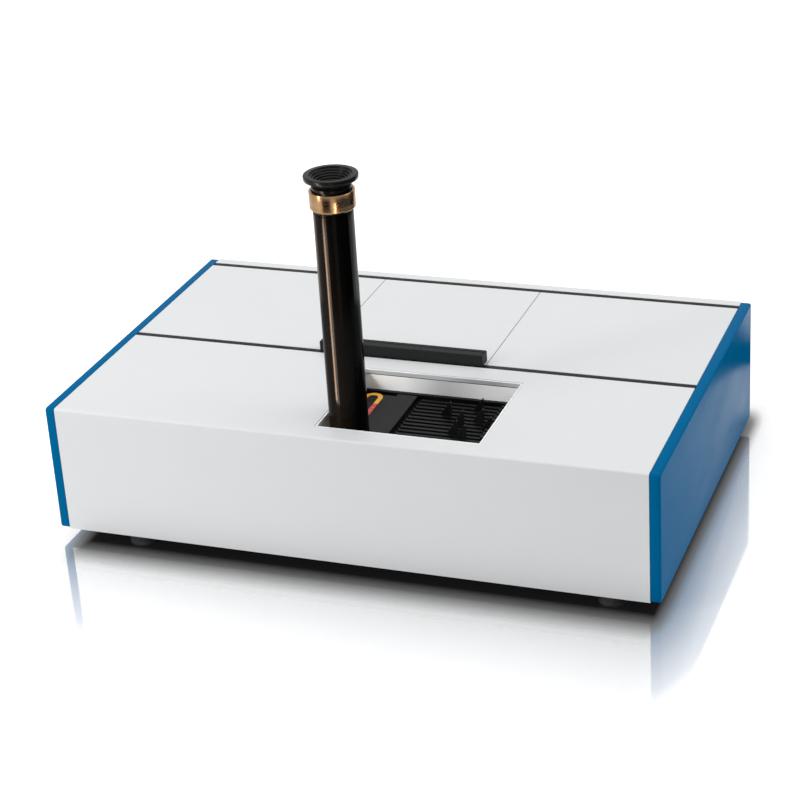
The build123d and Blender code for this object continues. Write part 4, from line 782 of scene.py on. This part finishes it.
@dataclass
class ViewingColumn:
    """Viewing tube, brass collar, sliding barrel, lens and eyecup, all turned about one axis."""

    sides: int = 128
    collar_lines: int = 3

    def axis(self) -> Point:
        """Give the tube's axis as a point at Z = 0."""
        centre = middle("viewing_tube")
        return (centre.x, centre.y, 0.0)

    def tube(self) -> Surface:
        """Turn the tube, its foot groove and the shallow groove below the collar."""
        low, high = (Vector(corner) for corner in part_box("viewing_tube"))
        radius = (high.x - low.x) / 2.0
        spigot, bore, light = 12.0 * MM, 13.0 * MM, 10.0 * MM
        foot = low.z + 10.0 * MM
        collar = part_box("brass_collar")[0][2]
        groove = collar - 2.2 * MM
        profile = [(light, low.z), (spigot - 0.3 * MM, low.z), (spigot, low.z + 0.3 * MM),
                   (spigot, foot), (radius, foot), (radius, groove),
                   (radius - 0.35 * MM, groove + 0.25 * MM),
                   (radius - 0.35 * MM, groove + 1.0 * MM), (radius, groove + 1.3 * MM),
                   (radius, high.z - 0.3 * MM), (radius - 0.3 * MM, high.z), (bore, high.z),
                   (bore, foot + 3.0 * MM), (light, foot + 3.0 * MM)]
        return lathe(profile, self.sides)

    def collar(self) -> Surface:
        """Turn the collar with its lower chamfer and fine turned lines."""
        low, high = (Vector(corner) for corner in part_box("brass_collar"))
        radius = (high.x - low.x) / 2.0
        bore, mouth = 15.92 * MM, 16.1 * MM
        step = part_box("viewing_tube")[1][2] + 0.6 * MM
        profile = [(bore, low.z), (radius - 1.9 * MM, low.z), (radius - 0.1 * MM, low.z + 1.8 * MM),
                   (radius, low.z + 2.1 * MM)]
        for k in range(self.collar_lines):
            level = low.z + (3.4 + 0.9 * k) * MM
            profile += [(radius, level), (radius - 0.12 * MM, level + 0.12 * MM),
                        (radius, level + 0.24 * MM)]
        profile += [(radius, high.z - 0.6 * MM), (radius - 0.2 * MM, high.z - 0.2 * MM),
                    (radius - 0.6 * MM, high.z), (mouth + 0.3 * MM, high.z),
                    (mouth, high.z - 0.3 * MM), (mouth, step), (bore, step)]
        return lathe(profile, self.sides)

    def eyecup(self) -> Surface:
        """Turn the eyecup: a round rim, a funnel of rounded steps, a ridge and a neck."""
        low, high = (Vector(corner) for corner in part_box("eyecup"))
        outer = (high.x - low.x) / 2.0
        top, rim_width, depth, count, hole = high.z, 4.9 * MM, 11.4 * MM, 7, 5.0 * MM
        collar_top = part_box("brass_collar")[1][2]
        ridge_low = collar_top + 0.8 * MM
        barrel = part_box("eyepiece_barrel")[1][2]
        neck, ridge, bore = 13.75 * MM, 15.8 * MM, 11.97 * MM
        bend = np.linspace(0.0, math.pi / 2.0, 5)
        rim = [(outer - 0.9 * MM * (1.0 - math.sin(math.pi / 2.0 - a)),
                top - 0.9 * MM * (1.0 - math.sin(a))) for a in bend[::-1]]
        profile = [(bore, low.z), (neck - 0.3 * MM, low.z), (neck, low.z + 0.3 * MM),
                   (neck, ridge_low), (ridge - 0.3 * MM, ridge_low),
                   (ridge, ridge_low + 0.3 * MM), (ridge, ridge_low + 2.3 * MM),
                   (ridge - 0.3 * MM, ridge_low + 2.6 * MM),
                   (neck + 0.9 * MM, ridge_low + 3.1 * MM),
                   (outer - 2.2 * MM, top - 4.7 * MM), (outer - 0.7 * MM, top - 4.2 * MM),
                   (outer - 0.15 * MM, top - 3.6 * MM)]
        profile += sorted(rim, key=lambda point: point[1])
        inner = outer - rim_width
        profile.append((inner + 0.4 * MM, top))
        run, drop = (inner - hole) / count, depth / count
        for k in range(count):
            ledge = inner - k * run
            level = top - k * drop
            profile += [(ledge, level - 0.25 * drop), (ledge - 0.20 * run, level - drop * 0.92),
                        (ledge - 0.45 * run, level - drop)]
        profile += [(hole, top - depth), (hole, barrel + 0.1 * MM), (bore, barrel + 0.1 * MM)]
        return lathe(profile, self.sides)

    def barrel(self) -> Surface:
        """Turn the sliding barrel with its narrower head and the step that holds the lens."""
        low, high = (Vector(corner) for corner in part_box("eyepiece_barrel"))
        lens_low, lens_high = (Vector(corner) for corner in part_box("eyepiece_lens"))
        radius = (high.x - low.x) / 2.0
        seat = (lens_high.x - lens_low.x) / 2.0 + 0.02 * MM
        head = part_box("viewing_tube")[1][2] - 1.0 * MM
        profile = [(seat - 1.2 * MM, low.z), (radius - 0.3 * MM, low.z), (radius, low.z + 0.3 * MM),
                   (radius, head), (radius - 1.0 * MM, head), (radius - 1.0 * MM, high.z),
                   (seat, high.z), (seat, lens_low.z), (seat - 1.2 * MM, lens_low.z)]
        return lathe(profile, self.sides)

    def lens(self) -> Surface:
        """Turn the plano-convex lens: the crown's height is z0 + sqrt(R^2 - r^2) - sqrt(R^2 - a^2)."""
        low, high = (Vector(corner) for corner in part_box("eyepiece_lens"))
        radius = (high.x - low.x) / 2.0
        crown = 60.0 * MM
        reach = np.linspace(radius, 0.0, 14)
        level = high.z - crown + np.sqrt(crown ** 2 - reach ** 2)
        profile = [(0.0, low.z), (radius - 0.2 * MM, low.z), (radius, low.z + 0.2 * MM)]
        return lathe(profile + list(zip(reach, level)), 72)

    def build(self, shop: Workshop) -> None:
        """Make the column's pieces on their bodies."""
        axis = self.axis()
        shop.piece("viewing_column", self.tube().moved(axis), "black_gloss", "case",
                   ["viewing_tube"], 28.0)
        shop.piece("collar_ring", self.collar().moved(axis), "brass", "case", ["brass_collar"])
        shop.piece("soft_eyecup", self.eyecup().moved(axis), "eyecup_rubber", "eyepiece",
                   ["eyecup"], 40.0)
        shop.piece("focus_barrel", self.barrel().moved(axis), "brass", "eyepiece",
                   ["eyepiece_barrel"])
        shop.piece("eye_lens", self.lens().moved(axis), "clear_glass", "eyepiece",
                   ["eyepiece_lens"])


@dataclass
class Feet:
    """Four turned rubber feet, each with a ribbed side and a pan-head screw in its pocket."""

    pocket: float = 4.0 * MM
    screw_head: float = 3.6 * MM

    def foot(self, height: float, radius: float) -> Surface:
        """Turn one foot: a rounded tread, two shallow side ribs and a screw pocket."""
        bore, pocket = 2.05 * MM, self.screw_head + 1.0 * MM
        profile = [(bore, self.pocket), (pocket, self.pocket), (pocket, 0.3 * MM),
                   (pocket + 0.3 * MM, 0.0), (radius - 1.0 * MM, 0.0),
                   (radius - 0.3 * MM, 0.25 * MM), (radius, 0.9 * MM),
                   (radius - 0.25 * MM, height * 0.38), (radius - 0.5 * MM, height * 0.42),
                   (radius - 0.5 * MM, height * 0.50), (radius - 0.3 * MM, height * 0.54),
                   (radius - 0.7 * MM, height - 0.4 * MM), (radius - 1.1 * MM, height),
                   (bore, height)]
        return lathe(profile, 64)

    def places(self) -> list[Point]:
        """Give the four feet's centres at Z = 0, from their node's box."""
        low, high = (Vector(corner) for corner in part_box("feet"))
        radius = 12.3 * MM
        return [(x, y, 0.0) for x in (low.x + radius, high.x - radius)
                for y in (low.y + radius, high.y - radius)]

    def build(self, shop: Workshop) -> None:
        """Make the feet as one piece."""
        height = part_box("feet")[1][2]
        foot = self.foot(height, 12.3 * MM)
        shop.piece("rubber_feet", Surface.joined([foot.moved(p) for p in self.places()]),
                   "foot_rubber", "case", ["feet"])


@dataclass
class CaseScrews:
    """Pan-head screws with a cross recess: four up into the feet, four along the rear cover."""

    head_radius: float = 3.6 * MM
    head_height: float = 2.2 * MM
    shank_radius: float = 1.95 * MM
    length: float = 8.5 * MM
    arm: float = 2.0 * MM
    slot: float = 0.45 * MM
    rear_face: float = 162.5 * MM

    def head(self) -> Surface:
        """Make one screw along +Z whose head faces -Z.

        The head's top is a dome, z = -h + 0.5 (r / R)^2 mm, pressed in by 1 mm inside a cross of
        four arms; the grid is polar, and its inner radius closes on one point.
        """
        reach = np.linspace(0.0, 1.0, 13)[1:] * self.head_radius
        angle = np.linspace(0.0, 2.0 * math.pi, 48, endpoint=False)
        r, a = np.meshgrid(reach, angle, indexing="ij")
        x, y = r * np.cos(a), r * np.sin(a)
        level = -self.head_height + 0.5 * MM * (r / self.head_radius) ** 2
        cross = ((np.abs(x) < self.slot) & (np.abs(y) < self.arm)) | (
            (np.abs(y) < self.slot) & (np.abs(x) < self.arm))
        level = level + np.where(cross, 1.0 * MM, 0.0)
        top = np.stack([x, y, level], axis=-1)
        edge = np.stack([x[-1], y[-1], np.zeros_like(x[-1])], axis=-1)
        shank = self.shank_radius / self.head_radius
        neck = np.stack([x[-1] * shank, y[-1] * shank, np.zeros_like(x[-1])], axis=-1)
        tip = neck + np.array([0.0, 0.0, self.length])
        skin = stacked(np.concatenate([top, edge[None], neck[None], tip[None]]), False)
        count = len(skin.points)
        sides = len(angle)
        points = np.concatenate([skin.points, [[0.0, 0.0, -self.head_height + 1.0 * MM]]])
        faces = list(skin.faces)
        faces += [(count, (k + 1) % sides, k) for k in range(sides)]
        faces.append(tuple(range(count - sides, count)))
        return Surface(points, faces)

    def build(self, shop: Workshop, feet: Feet) -> None:
        """Make the eight screws as one piece.

        Args:
            shop: makes the piece.
            feet: gives the places of the four lower screws.
        """
        low, high = (Vector(corner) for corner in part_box("case_screws"))
        screw = self.head()
        lower = [screw.moved((x, y, feet.pocket)) for x, y, _ in feet.places()]
        to_front = Matrix(((1, 0, 0), (0, 0, -1), (0, 1, 0)))
        rear = [screw.turned(to_front).moved((x, self.rear_face, high.z - self.head_radius))
                for x in (-0.215, -0.0716667, 0.0716667, 0.215)]
        shop.piece("cross_screws", Surface.joined(lower + rear), "screw_steel", "case",
                   ["case_screws"])


@dataclass
class Lamps:
    """Two capsule lamps on their posts: a ribbed metal base and a clear domed bulb."""

    bulb_radius: float = 5.5 * MM
    base_radius: float = 4.0 * MM
    base_length: float = 9.0 * MM
    length: float = 26.0 * MM

    def bulb(self) -> Surface:
        """Turn one bulb: a straight wall, then a dome, r = R cos a and z = z0 + R sin a."""
        bend = np.linspace(0.0, math.pi / 2.0, 9)
        start = self.length - self.bulb_radius
        dome = [(self.bulb_radius * math.cos(a), start + self.bulb_radius * math.sin(a))
                for a in bend]
        dome[-1] = (0.0, self.length)
        return lathe([(0.0, self.base_length), (self.bulb_radius - 1.0 * MM, self.base_length),
                      (self.bulb_radius, self.base_length + 1.5 * MM)] + dome, 40)

    def base(self) -> Surface:
        """Turn one ribbed metal base."""
        rib = self.base_length / 6.0
        profile = [(0.0, 0.0), (self.base_radius, 0.0)]
        for k in range(1, 6):
            profile += [(self.base_radius - 0.2 * MM * (k % 2), rib * k)]
        profile += [(self.base_radius, self.base_length), (0.0, self.base_length)]
        return lathe(profile, 40)

    def build(self, shop: Workshop) -> None:
        """Make bulbs and bases, one pair each, turned to face each other."""
        low, high = (Vector(corner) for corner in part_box("lamps"))
        centre = middle("lamps")
        inward = {low.x: Matrix(((0, 0, 1), (0, 1, 0), (-1, 0, 0))),
                  high.x: Matrix(((0, 0, -1), (0, 1, 0), (1, 0, 0)))}
        for maker, name, slot in ((self.bulb, "lamp_bulbs", "lamp_glass"),
                                  (self.base, "lamp_bases", "screw_steel")):
            pair = [maker().turned(turn).moved((x, centre.y, centre.z))
                    for x, turn in inward.items()]
            stands_for = ["lamps"] if slot == "lamp_glass" else []
            shop.piece(name, Surface.joined(pair), slot, "case", stands_for)


@dataclass
class CadDressing:
    """Gives every CAD node that still shows the finish of its slot in the record."""

    record: dict

    def slots(self) -> dict[str, str]:
        """Give each node's material slot."""
        return {row["node"]: row["material_slot"] for row in self.record["subparts"]}

    def build(self, shop: Workshop) -> None:
        """Put the finishes on the nodes."""
        for node, slot in self.slots().items():
            mesh = frame["nodes"][node].data
            mesh.materials.clear()
            mesh.materials.append(shop.palette.get(slot))
            LOG.info("%s dressed as %s", node, slot)


# ------------------------------------------------------------------ studio


@dataclass
class Studio:
    """Pale floor, white surroundings, soft lamps and the camera."""

    eye: Point = (0.60984, -1.58635, 0.88498)
    right: Point = (0.939448, 0.337717, -0.058182)
    up: Point = (-0.095857, 0.421968, 0.901529)
    lens: float = 98.415
    sensor: float = 36.0
    ambient: float = 0.53
    floor_size: float = 30.0
    # The floor's mirror by the distance from the case: (metres, share, how bright it mirrors); close
    # to the case the mirror is darkened, which paints shade under and beside the case
    mirror_and_painted_shade: tuple[tuple[float, float, float], ...] = (
        (0.0, 0.99, 0.10), (0.010, 0.91, 0.10), (0.019, 0.84, 0.12), (0.027, 0.80, 0.35),
        (0.036, 0.74, 0.64), (0.043, 0.70, 0.87), (0.055, 0.65, 0.96), (0.090, 0.52, 1.0),
        (0.130, 0.38, 1.0), (0.155, 0.18, 1.0), (0.190, 0.0, 1.0))
    polish_stretch: Point = (2.6, 1.08, 0.0)
    # The distance is taken from a box that ends this far inside the case at its left and right
    polish_inset: tuple[float, float] = (0.028, 0.006)
    # Floor glow from close to the case to far off: it is weaker close to the case, which paints shade
    # round it
    glow_with_painted_shade: tuple[float, float] = (0.50, 0.80)
    lift_reach: float = 0.22
    # Dark flags that lie round the column, as azimuths in degrees from the front to the right
    flags: tuple[tuple[float, float], ...] = ((-30.0, 12.0), (31.0, 150.0))
    flag_reach: tuple[float, float] = (0.50, 2.60)
    flag_height: float = 0.40
    # Lamps: name, place, aim, size and watts
    lamps: tuple[tuple[str, Point, Point, tuple[float, float], float], ...] = (
        ("lamp_above", (-0.3, 0.3, 2.4), (0.0, 0.0, 0.1), (2.2, 1.8), 18.7),
        ("lamp_front_left", (-1.9, -1.7, 1.5), (0.0, 0.0, 0.15), (1.0, 1.6), 14.0),
        ("lamp_near_left", (-0.85, -0.95, 0.45), (-0.15, -0.10, 0.08), (0.2, 0.5), 3.2),
        ("lamp_right", (2.0, 0.4, 0.9), (0.2, 0.0, 0.08), (1.2, 1.2), 8.3))
    # The lamp for the well's liner: place, aim, size and watts
    fill: tuple[Point, Point, tuple[float, float], float] = (
        (-0.45, -0.85, 0.62), (0.02, -0.035, 0.11), (0.25, 0.25), 6.2)
    # Strips that light one piece: piece, azimuth in degrees, width, height, level, watts, tint
    strips: tuple[tuple[str, float, float, float, float, float, Colour], ...] = (
        ("viewing_column", -40.0, 0.045, 0.20, 0.105, 4.0, (1.0, 0.64, 0.42)),
        ("viewing_column", -28.0, 0.03, 0.20, 0.105, 0.7, (1.0, 0.84, 0.72)),
        ("viewing_column", 150.0, 0.08, 0.20, 0.105, 0.07, (1.0, 1.0, 1.0)),
        ("viewing_column", 126.0, 0.16, 0.20, 0.105, 0.30, (1.0, 1.0, 1.0)),
        ("viewing_column", -115.0, 0.12, 0.20, 0.105, 0.10, (1.0, 0.62, 0.40)),
        ("soft_eyecup", -34.0, 0.03, 0.30, 0.20, 1.4, (1.0, 0.80, 0.66)),
        ("collar_ring", 33.0, 0.03, 0.16, 0.195, 0.22, (1.0, 0.84, 0.68)),
        ("collar_ring", 85.0, 0.30, 0.20, 0.17, 0.035, (0.43, 0.63, 1.0)))

    def camera(self) -> None:
        """Set the camera from its place and its right and up directions."""
        lens = bpy.data.cameras.new("camera")
        lens.lens = self.lens
        lens.sensor_width = self.sensor
        lens.clip_start, lens.clip_end = 0.05, 100.0
        camera = bpy.data.objects.new("camera", lens)
        right, up = Vector(self.right).normalized(), Vector(self.up).normalized()
        back = right.cross(up).normalized()
        up = back.cross(right)
        turn = Matrix((right, up, back)).transposed().to_4x4()
        camera.matrix_world = Matrix.Translation(self.eye) @ turn
        bpy.context.scene.collection.objects.link(camera)
        bpy.context.scene.camera = camera

    def seen_directly(self, tree: bpy.types.NodeTree, kinds: Sequence[str]):
        """Give a socket that is 1 for any of the named kinds of ray."""
        path = tree.nodes.new("ShaderNodeLightPath")
        total = path.outputs[kinds[0]]
        for kind in kinds[1:]:
            node = tree.nodes.new("ShaderNodeMath")
            node.operation = "MAXIMUM"
            tree.links.new(total, node.inputs[0])
            tree.links.new(path.outputs[kind], node.inputs[1])
            total = node.outputs[0]
        return total

    def surroundings(self) -> None:
        """Make the world white to the eye and in reflections, and dimmer as a light."""
        world = bpy.data.worlds.new("surroundings")
        world.use_nodes = True
        tree = world.node_tree
        tree.nodes.clear()
        output = tree.nodes.new("ShaderNodeOutputWorld")
        mix = tree.nodes.new("ShaderNodeMixShader")
        light = tree.nodes.new("ShaderNodeBackground")
        light.inputs["Color"].default_value = (0.97, 0.985, 1.0, 1.0)
        light.inputs["Strength"].default_value = self.ambient
        shown = tree.nodes.new("ShaderNodeBackground")
        shown.inputs["Color"].default_value = (1.0, 1.0, 1.0, 1.0)
        kinds = ("Is Camera Ray", "Is Glossy Ray", "Is Transmission Ray")
        tree.links.new(self.seen_directly(tree, kinds), mix.inputs[0])
        tree.links.new(light.outputs[0], mix.inputs[1])
        tree.links.new(shown.outputs[0], mix.inputs[2])
        tree.links.new(mix.outputs[0], output.inputs["Surface"])
        bpy.context.scene.world = world

    def distance(self, board: NodeBoard):
        """Give the floor's stretched distance from the footprint as a socket.

        It is the length of (a max(|x - c| - w, 0), b max(|y| - d, 0)), where the box that it is
        taken from has its middle at c, w and d are half its sides, and a and b are the stretches.
        """
        high = Vector(CAD_BOUNDS[1])
        left, right = self.polish_inset
        value = board.nodes.new("ShaderNodeTexCoord").outputs["Object"]
        for operation, second in (("SUBTRACT", ((left - right) / 2.0, 0.0, 0.0)),
                                  ("ABSOLUTE", None),
                                  ("SUBTRACT", (high.x - (left + right) / 2.0, high.y, 0.0)),
                                  ("MAXIMUM", (0.0, 0.0, 0.0)),
                                  ("MULTIPLY", self.polish_stretch), ("LENGTH", None)):
            node = board.nodes.new("ShaderNodeVectorMath")
            node.operation = operation
            board.join(value, node.inputs[0])
            if second is not None:
                node.inputs[1].default_value = second
            value = node.outputs["Value" if operation == "LENGTH" else "Vector"]
        return value

    def ramp(self, board: NodeBoard, value, column: int):
        """Turn the distance into one column of the table of mirror share and painted shade, as a
        socket.
        """
        reach = self.mirror_and_painted_shade[-1][0]
        ramp = board.nodes.new("ShaderNodeValToRGB")
        stops = ramp.color_ramp.elements
        while len(stops) < len(self.mirror_and_painted_shade):
            stops.new(0.5)
        for stop, row in zip(stops, self.mirror_and_painted_shade):
            stop.position = row[0] / reach
            stop.color = (row[column], row[column], row[column], 1.0)
        board.join(board.spread(value, 0.0, 1.0, 0.0, reach), ramp.inputs[0])
        return ramp.outputs["Color"]

    def floor(self) -> None:
        """Lay a white floor that keeps the shadow and mirrors what stands close to it, with painted
        shade: its mirror is darkened and its glow weakened near the case.
        """
        half = self.floor_size / 2.0
        mesh = bpy.data.meshes.new("floor")
        mesh.from_pydata([(-half, -half, 0.0), (half, -half, 0.0), (half, half, 0.0),
                          (-half, half, 0.0)], [], [(0, 1, 2, 3)])
        board = NodeBoard("floor_white")
        board.nodes.remove(board.shader)
        matt = board.nodes.new("ShaderNodeBsdfDiffuse")
        matt.inputs["Color"].default_value = (0.62, 0.62, 0.62, 1.0)
        glow_with_painted_shade = board.nodes.new("ShaderNodeEmission")
        away = self.distance(board)
        # The glow grows with the distance from the case: painted shade near the case.
        board.join(board.spread(away, *self.glow_with_painted_shade, 0.0, self.lift_reach), glow_with_painted_shade.inputs["Strength"])
        mirror_with_painted_shade = board.nodes.new("ShaderNodeBsdfGlossy")
        mirror_with_painted_shade.inputs["Roughness"].default_value = 0.06
        # The mirror's colour is dark near the case: painted shade under and beside it.
        board.join(self.ramp(board, away, 2), mirror_with_painted_shade.inputs["Color"])
        both = board.nodes.new("ShaderNodeAddShader")
        seen = board.nodes.new("ShaderNodeMixShader")
        polished = board.nodes.new("ShaderNodeMixShader")
        tree = board.material.node_tree
        board.join(matt.outputs[0], both.inputs[0])
        board.join(glow_with_painted_shade.outputs[0], both.inputs[1])
        board.join(self.seen_directly(tree, ("Is Camera Ray", "Is Glossy Ray",
                                             "Is Transmission Ray")), seen.inputs[0])
        board.join(matt.outputs[0], seen.inputs[1])
        board.join(both.outputs[0], seen.inputs[2])
        board.join(self.ramp(board, away, 1), polished.inputs[0])
        board.join(seen.outputs[0], polished.inputs[1])
        board.join(mirror_with_painted_shade.outputs[0], polished.inputs[2])
        board.join(polished.outputs[0], board.output.inputs["Surface"])
        mesh.materials.append(board.material)
        floor = bpy.data.objects.new("floor", mesh)
        bpy.context.scene.collection.objects.link(floor)

    def dark_flags(self) -> None:
        """Lay the dark flags, which show in reflections alone and only from their inner side.

        Each is a ring sector with a wall at its far end: the point at step k and azimuth a is the
        column's axis plus (r[k] sin a, -r[k] cos a), at height z[k].
        """
        centre = middle("viewing_tube")
        near, far = self.flag_reach
        reach = np.array([near, far, far])[:, None]
        level = np.array([4.0 * MM, 4.0 * MM, self.flag_height])[:, None]
        points, faces = [], []
        for number, (start, end) in enumerate(self.flags):
            turn = np.radians(np.linspace(start, end, 25))
            points.append(np.stack([centre.x + reach * np.sin(turn),
                                    centre.y - reach * np.cos(turn),
                                    np.repeat(level, len(turn), axis=1)], axis=-1).reshape(-1, 3))
            row, step = np.meshgrid(np.arange(2), np.arange(len(turn) - 1), indexing="ij")
            first = (number * 3 + row) * len(turn) + step
            faces += np.stack([first, first + len(turn), first + len(turn) + 1, first + 1],
                              axis=-1).reshape(-1, 4).tolist()
        mesh = bpy.data.meshes.new("dark_flags")
        mesh.from_pydata(np.concatenate(points).tolist(), [], faces)
        board = NodeBoard("flag_black")
        board.nodes.remove(board.shader)
        black = board.nodes.new("ShaderNodeEmission")
        black.inputs["Color"].default_value = (0.0, 0.0, 0.0, 1.0)
        clear = board.nodes.new("ShaderNodeBsdfTransparent")
        below = board.nodes.new("ShaderNodeNewGeometry")
        mix = board.nodes.new("ShaderNodeMixShader")
        board.join(below.outputs["Backfacing"], mix.inputs[0])
        board.join(black.outputs[0], mix.inputs[1])
        board.join(clear.outputs[0], mix.inputs[2])
        board.join(mix.outputs[0], board.output.inputs["Surface"])
        mesh.materials.append(board.material)
        flags = bpy.data.objects.new("dark_flags", mesh)
        bpy.context.scene.collection.objects.link(flags)
        flags.visible_camera = flags.visible_diffuse = flags.visible_shadow = False
        flags.visible_transmission = flags.visible_volume_scatter = False

    def lamp(self, name: str, place: Point, aim: Point, size: tuple[float, float],
             power: float) -> bpy.types.Object:
        """Hang one rectangular soft lamp.

        Args:
            name: the lamp's name.
            place: its centre.
            aim: the point that it faces.
            size: its width and height in metres.
            power: its power in watts.

        Returns:
            The lamp.
        """
        light = bpy.data.lights.new(name, "AREA")
        light.shape = "RECTANGLE"
        light.size, light.size_y = size
        light.energy = power
        lamp = bpy.data.objects.new(name, light)
        lamp.location = place
        lamp.rotation_euler = (Vector(aim) - Vector(place)).to_track_quat("-Z", "Y").to_euler()
        bpy.context.scene.collection.objects.link(lamp)
        return lamp

    def streaks(self) -> None:
        """Stand narrow strip lamps beside the case, each screened off everything but one piece.

        Each stands at an azimuth from the tube's axis, as the dark flags do, a quarter of a metre
        away and as high as the line of sight needs after it leaves the piece.
        """
        centre = middle("viewing_tube")
        for number, (piece, azimuth, width, height, level, power, tint) in enumerate(self.strips):
            only = bpy.data.collections.new(f"{piece}_alone_{number}")
            only.objects.link(bpy.data.objects[piece])
            turn = math.radians(azimuth)
            place = (centre.x + 0.25 * math.sin(turn), centre.y - 0.25 * math.cos(turn), level)
            strip = self.lamp(f"strip_{number}", place, (centre.x, centre.y, level),
                              (width, height), power)
            strip.data.color = tint
            strip.visible_camera = False
            strip.light_linking.receiver_collection = only
            strip.light_linking.blocker_collection = only

    def well_fill(self) -> None:
        """Aim a small soft lamp at the well's back wall, which lights the liner alone."""
        only = bpy.data.collections.new("liner_alone")
        only.objects.link(frame["nodes"]["well_liner"])
        place, aim, size, power = self.fill
        fill = self.lamp("lamp_well", place, aim, size, power)
        fill.visible_camera = False
        fill.light_linking.receiver_collection = only

    def build(self) -> None:
        """Set the whole studio."""
        self.camera()
        self.surroundings()
        self.floor()
        self.dark_flags()
        for lamp in self.lamps:
            self.lamp(*lamp)
        self.well_fill()
        bpy.context.scene.view_settings.view_transform = "Standard"


def main() -> None:
    """Build the studio and every piece, in order."""
    logging.basicConfig(level=logging.INFO, format="%(name)s %(message)s")
    studio = Studio()
    studio.build()
    shop = Workshop(Palette(FINISHES))
    CadDressing(frame["record"]).build(shop)
    feet = Feet()
    for assembly in (SidePanels(), DeckStrips(), WellRim(), HandleBar(), ViewingColumn(), feet,
                     Lamps()):
        assembly.build(shop)
    CaseScrews().build(shop, feet)
    studio.streaks()


if __name__ == "__main__":
    main()
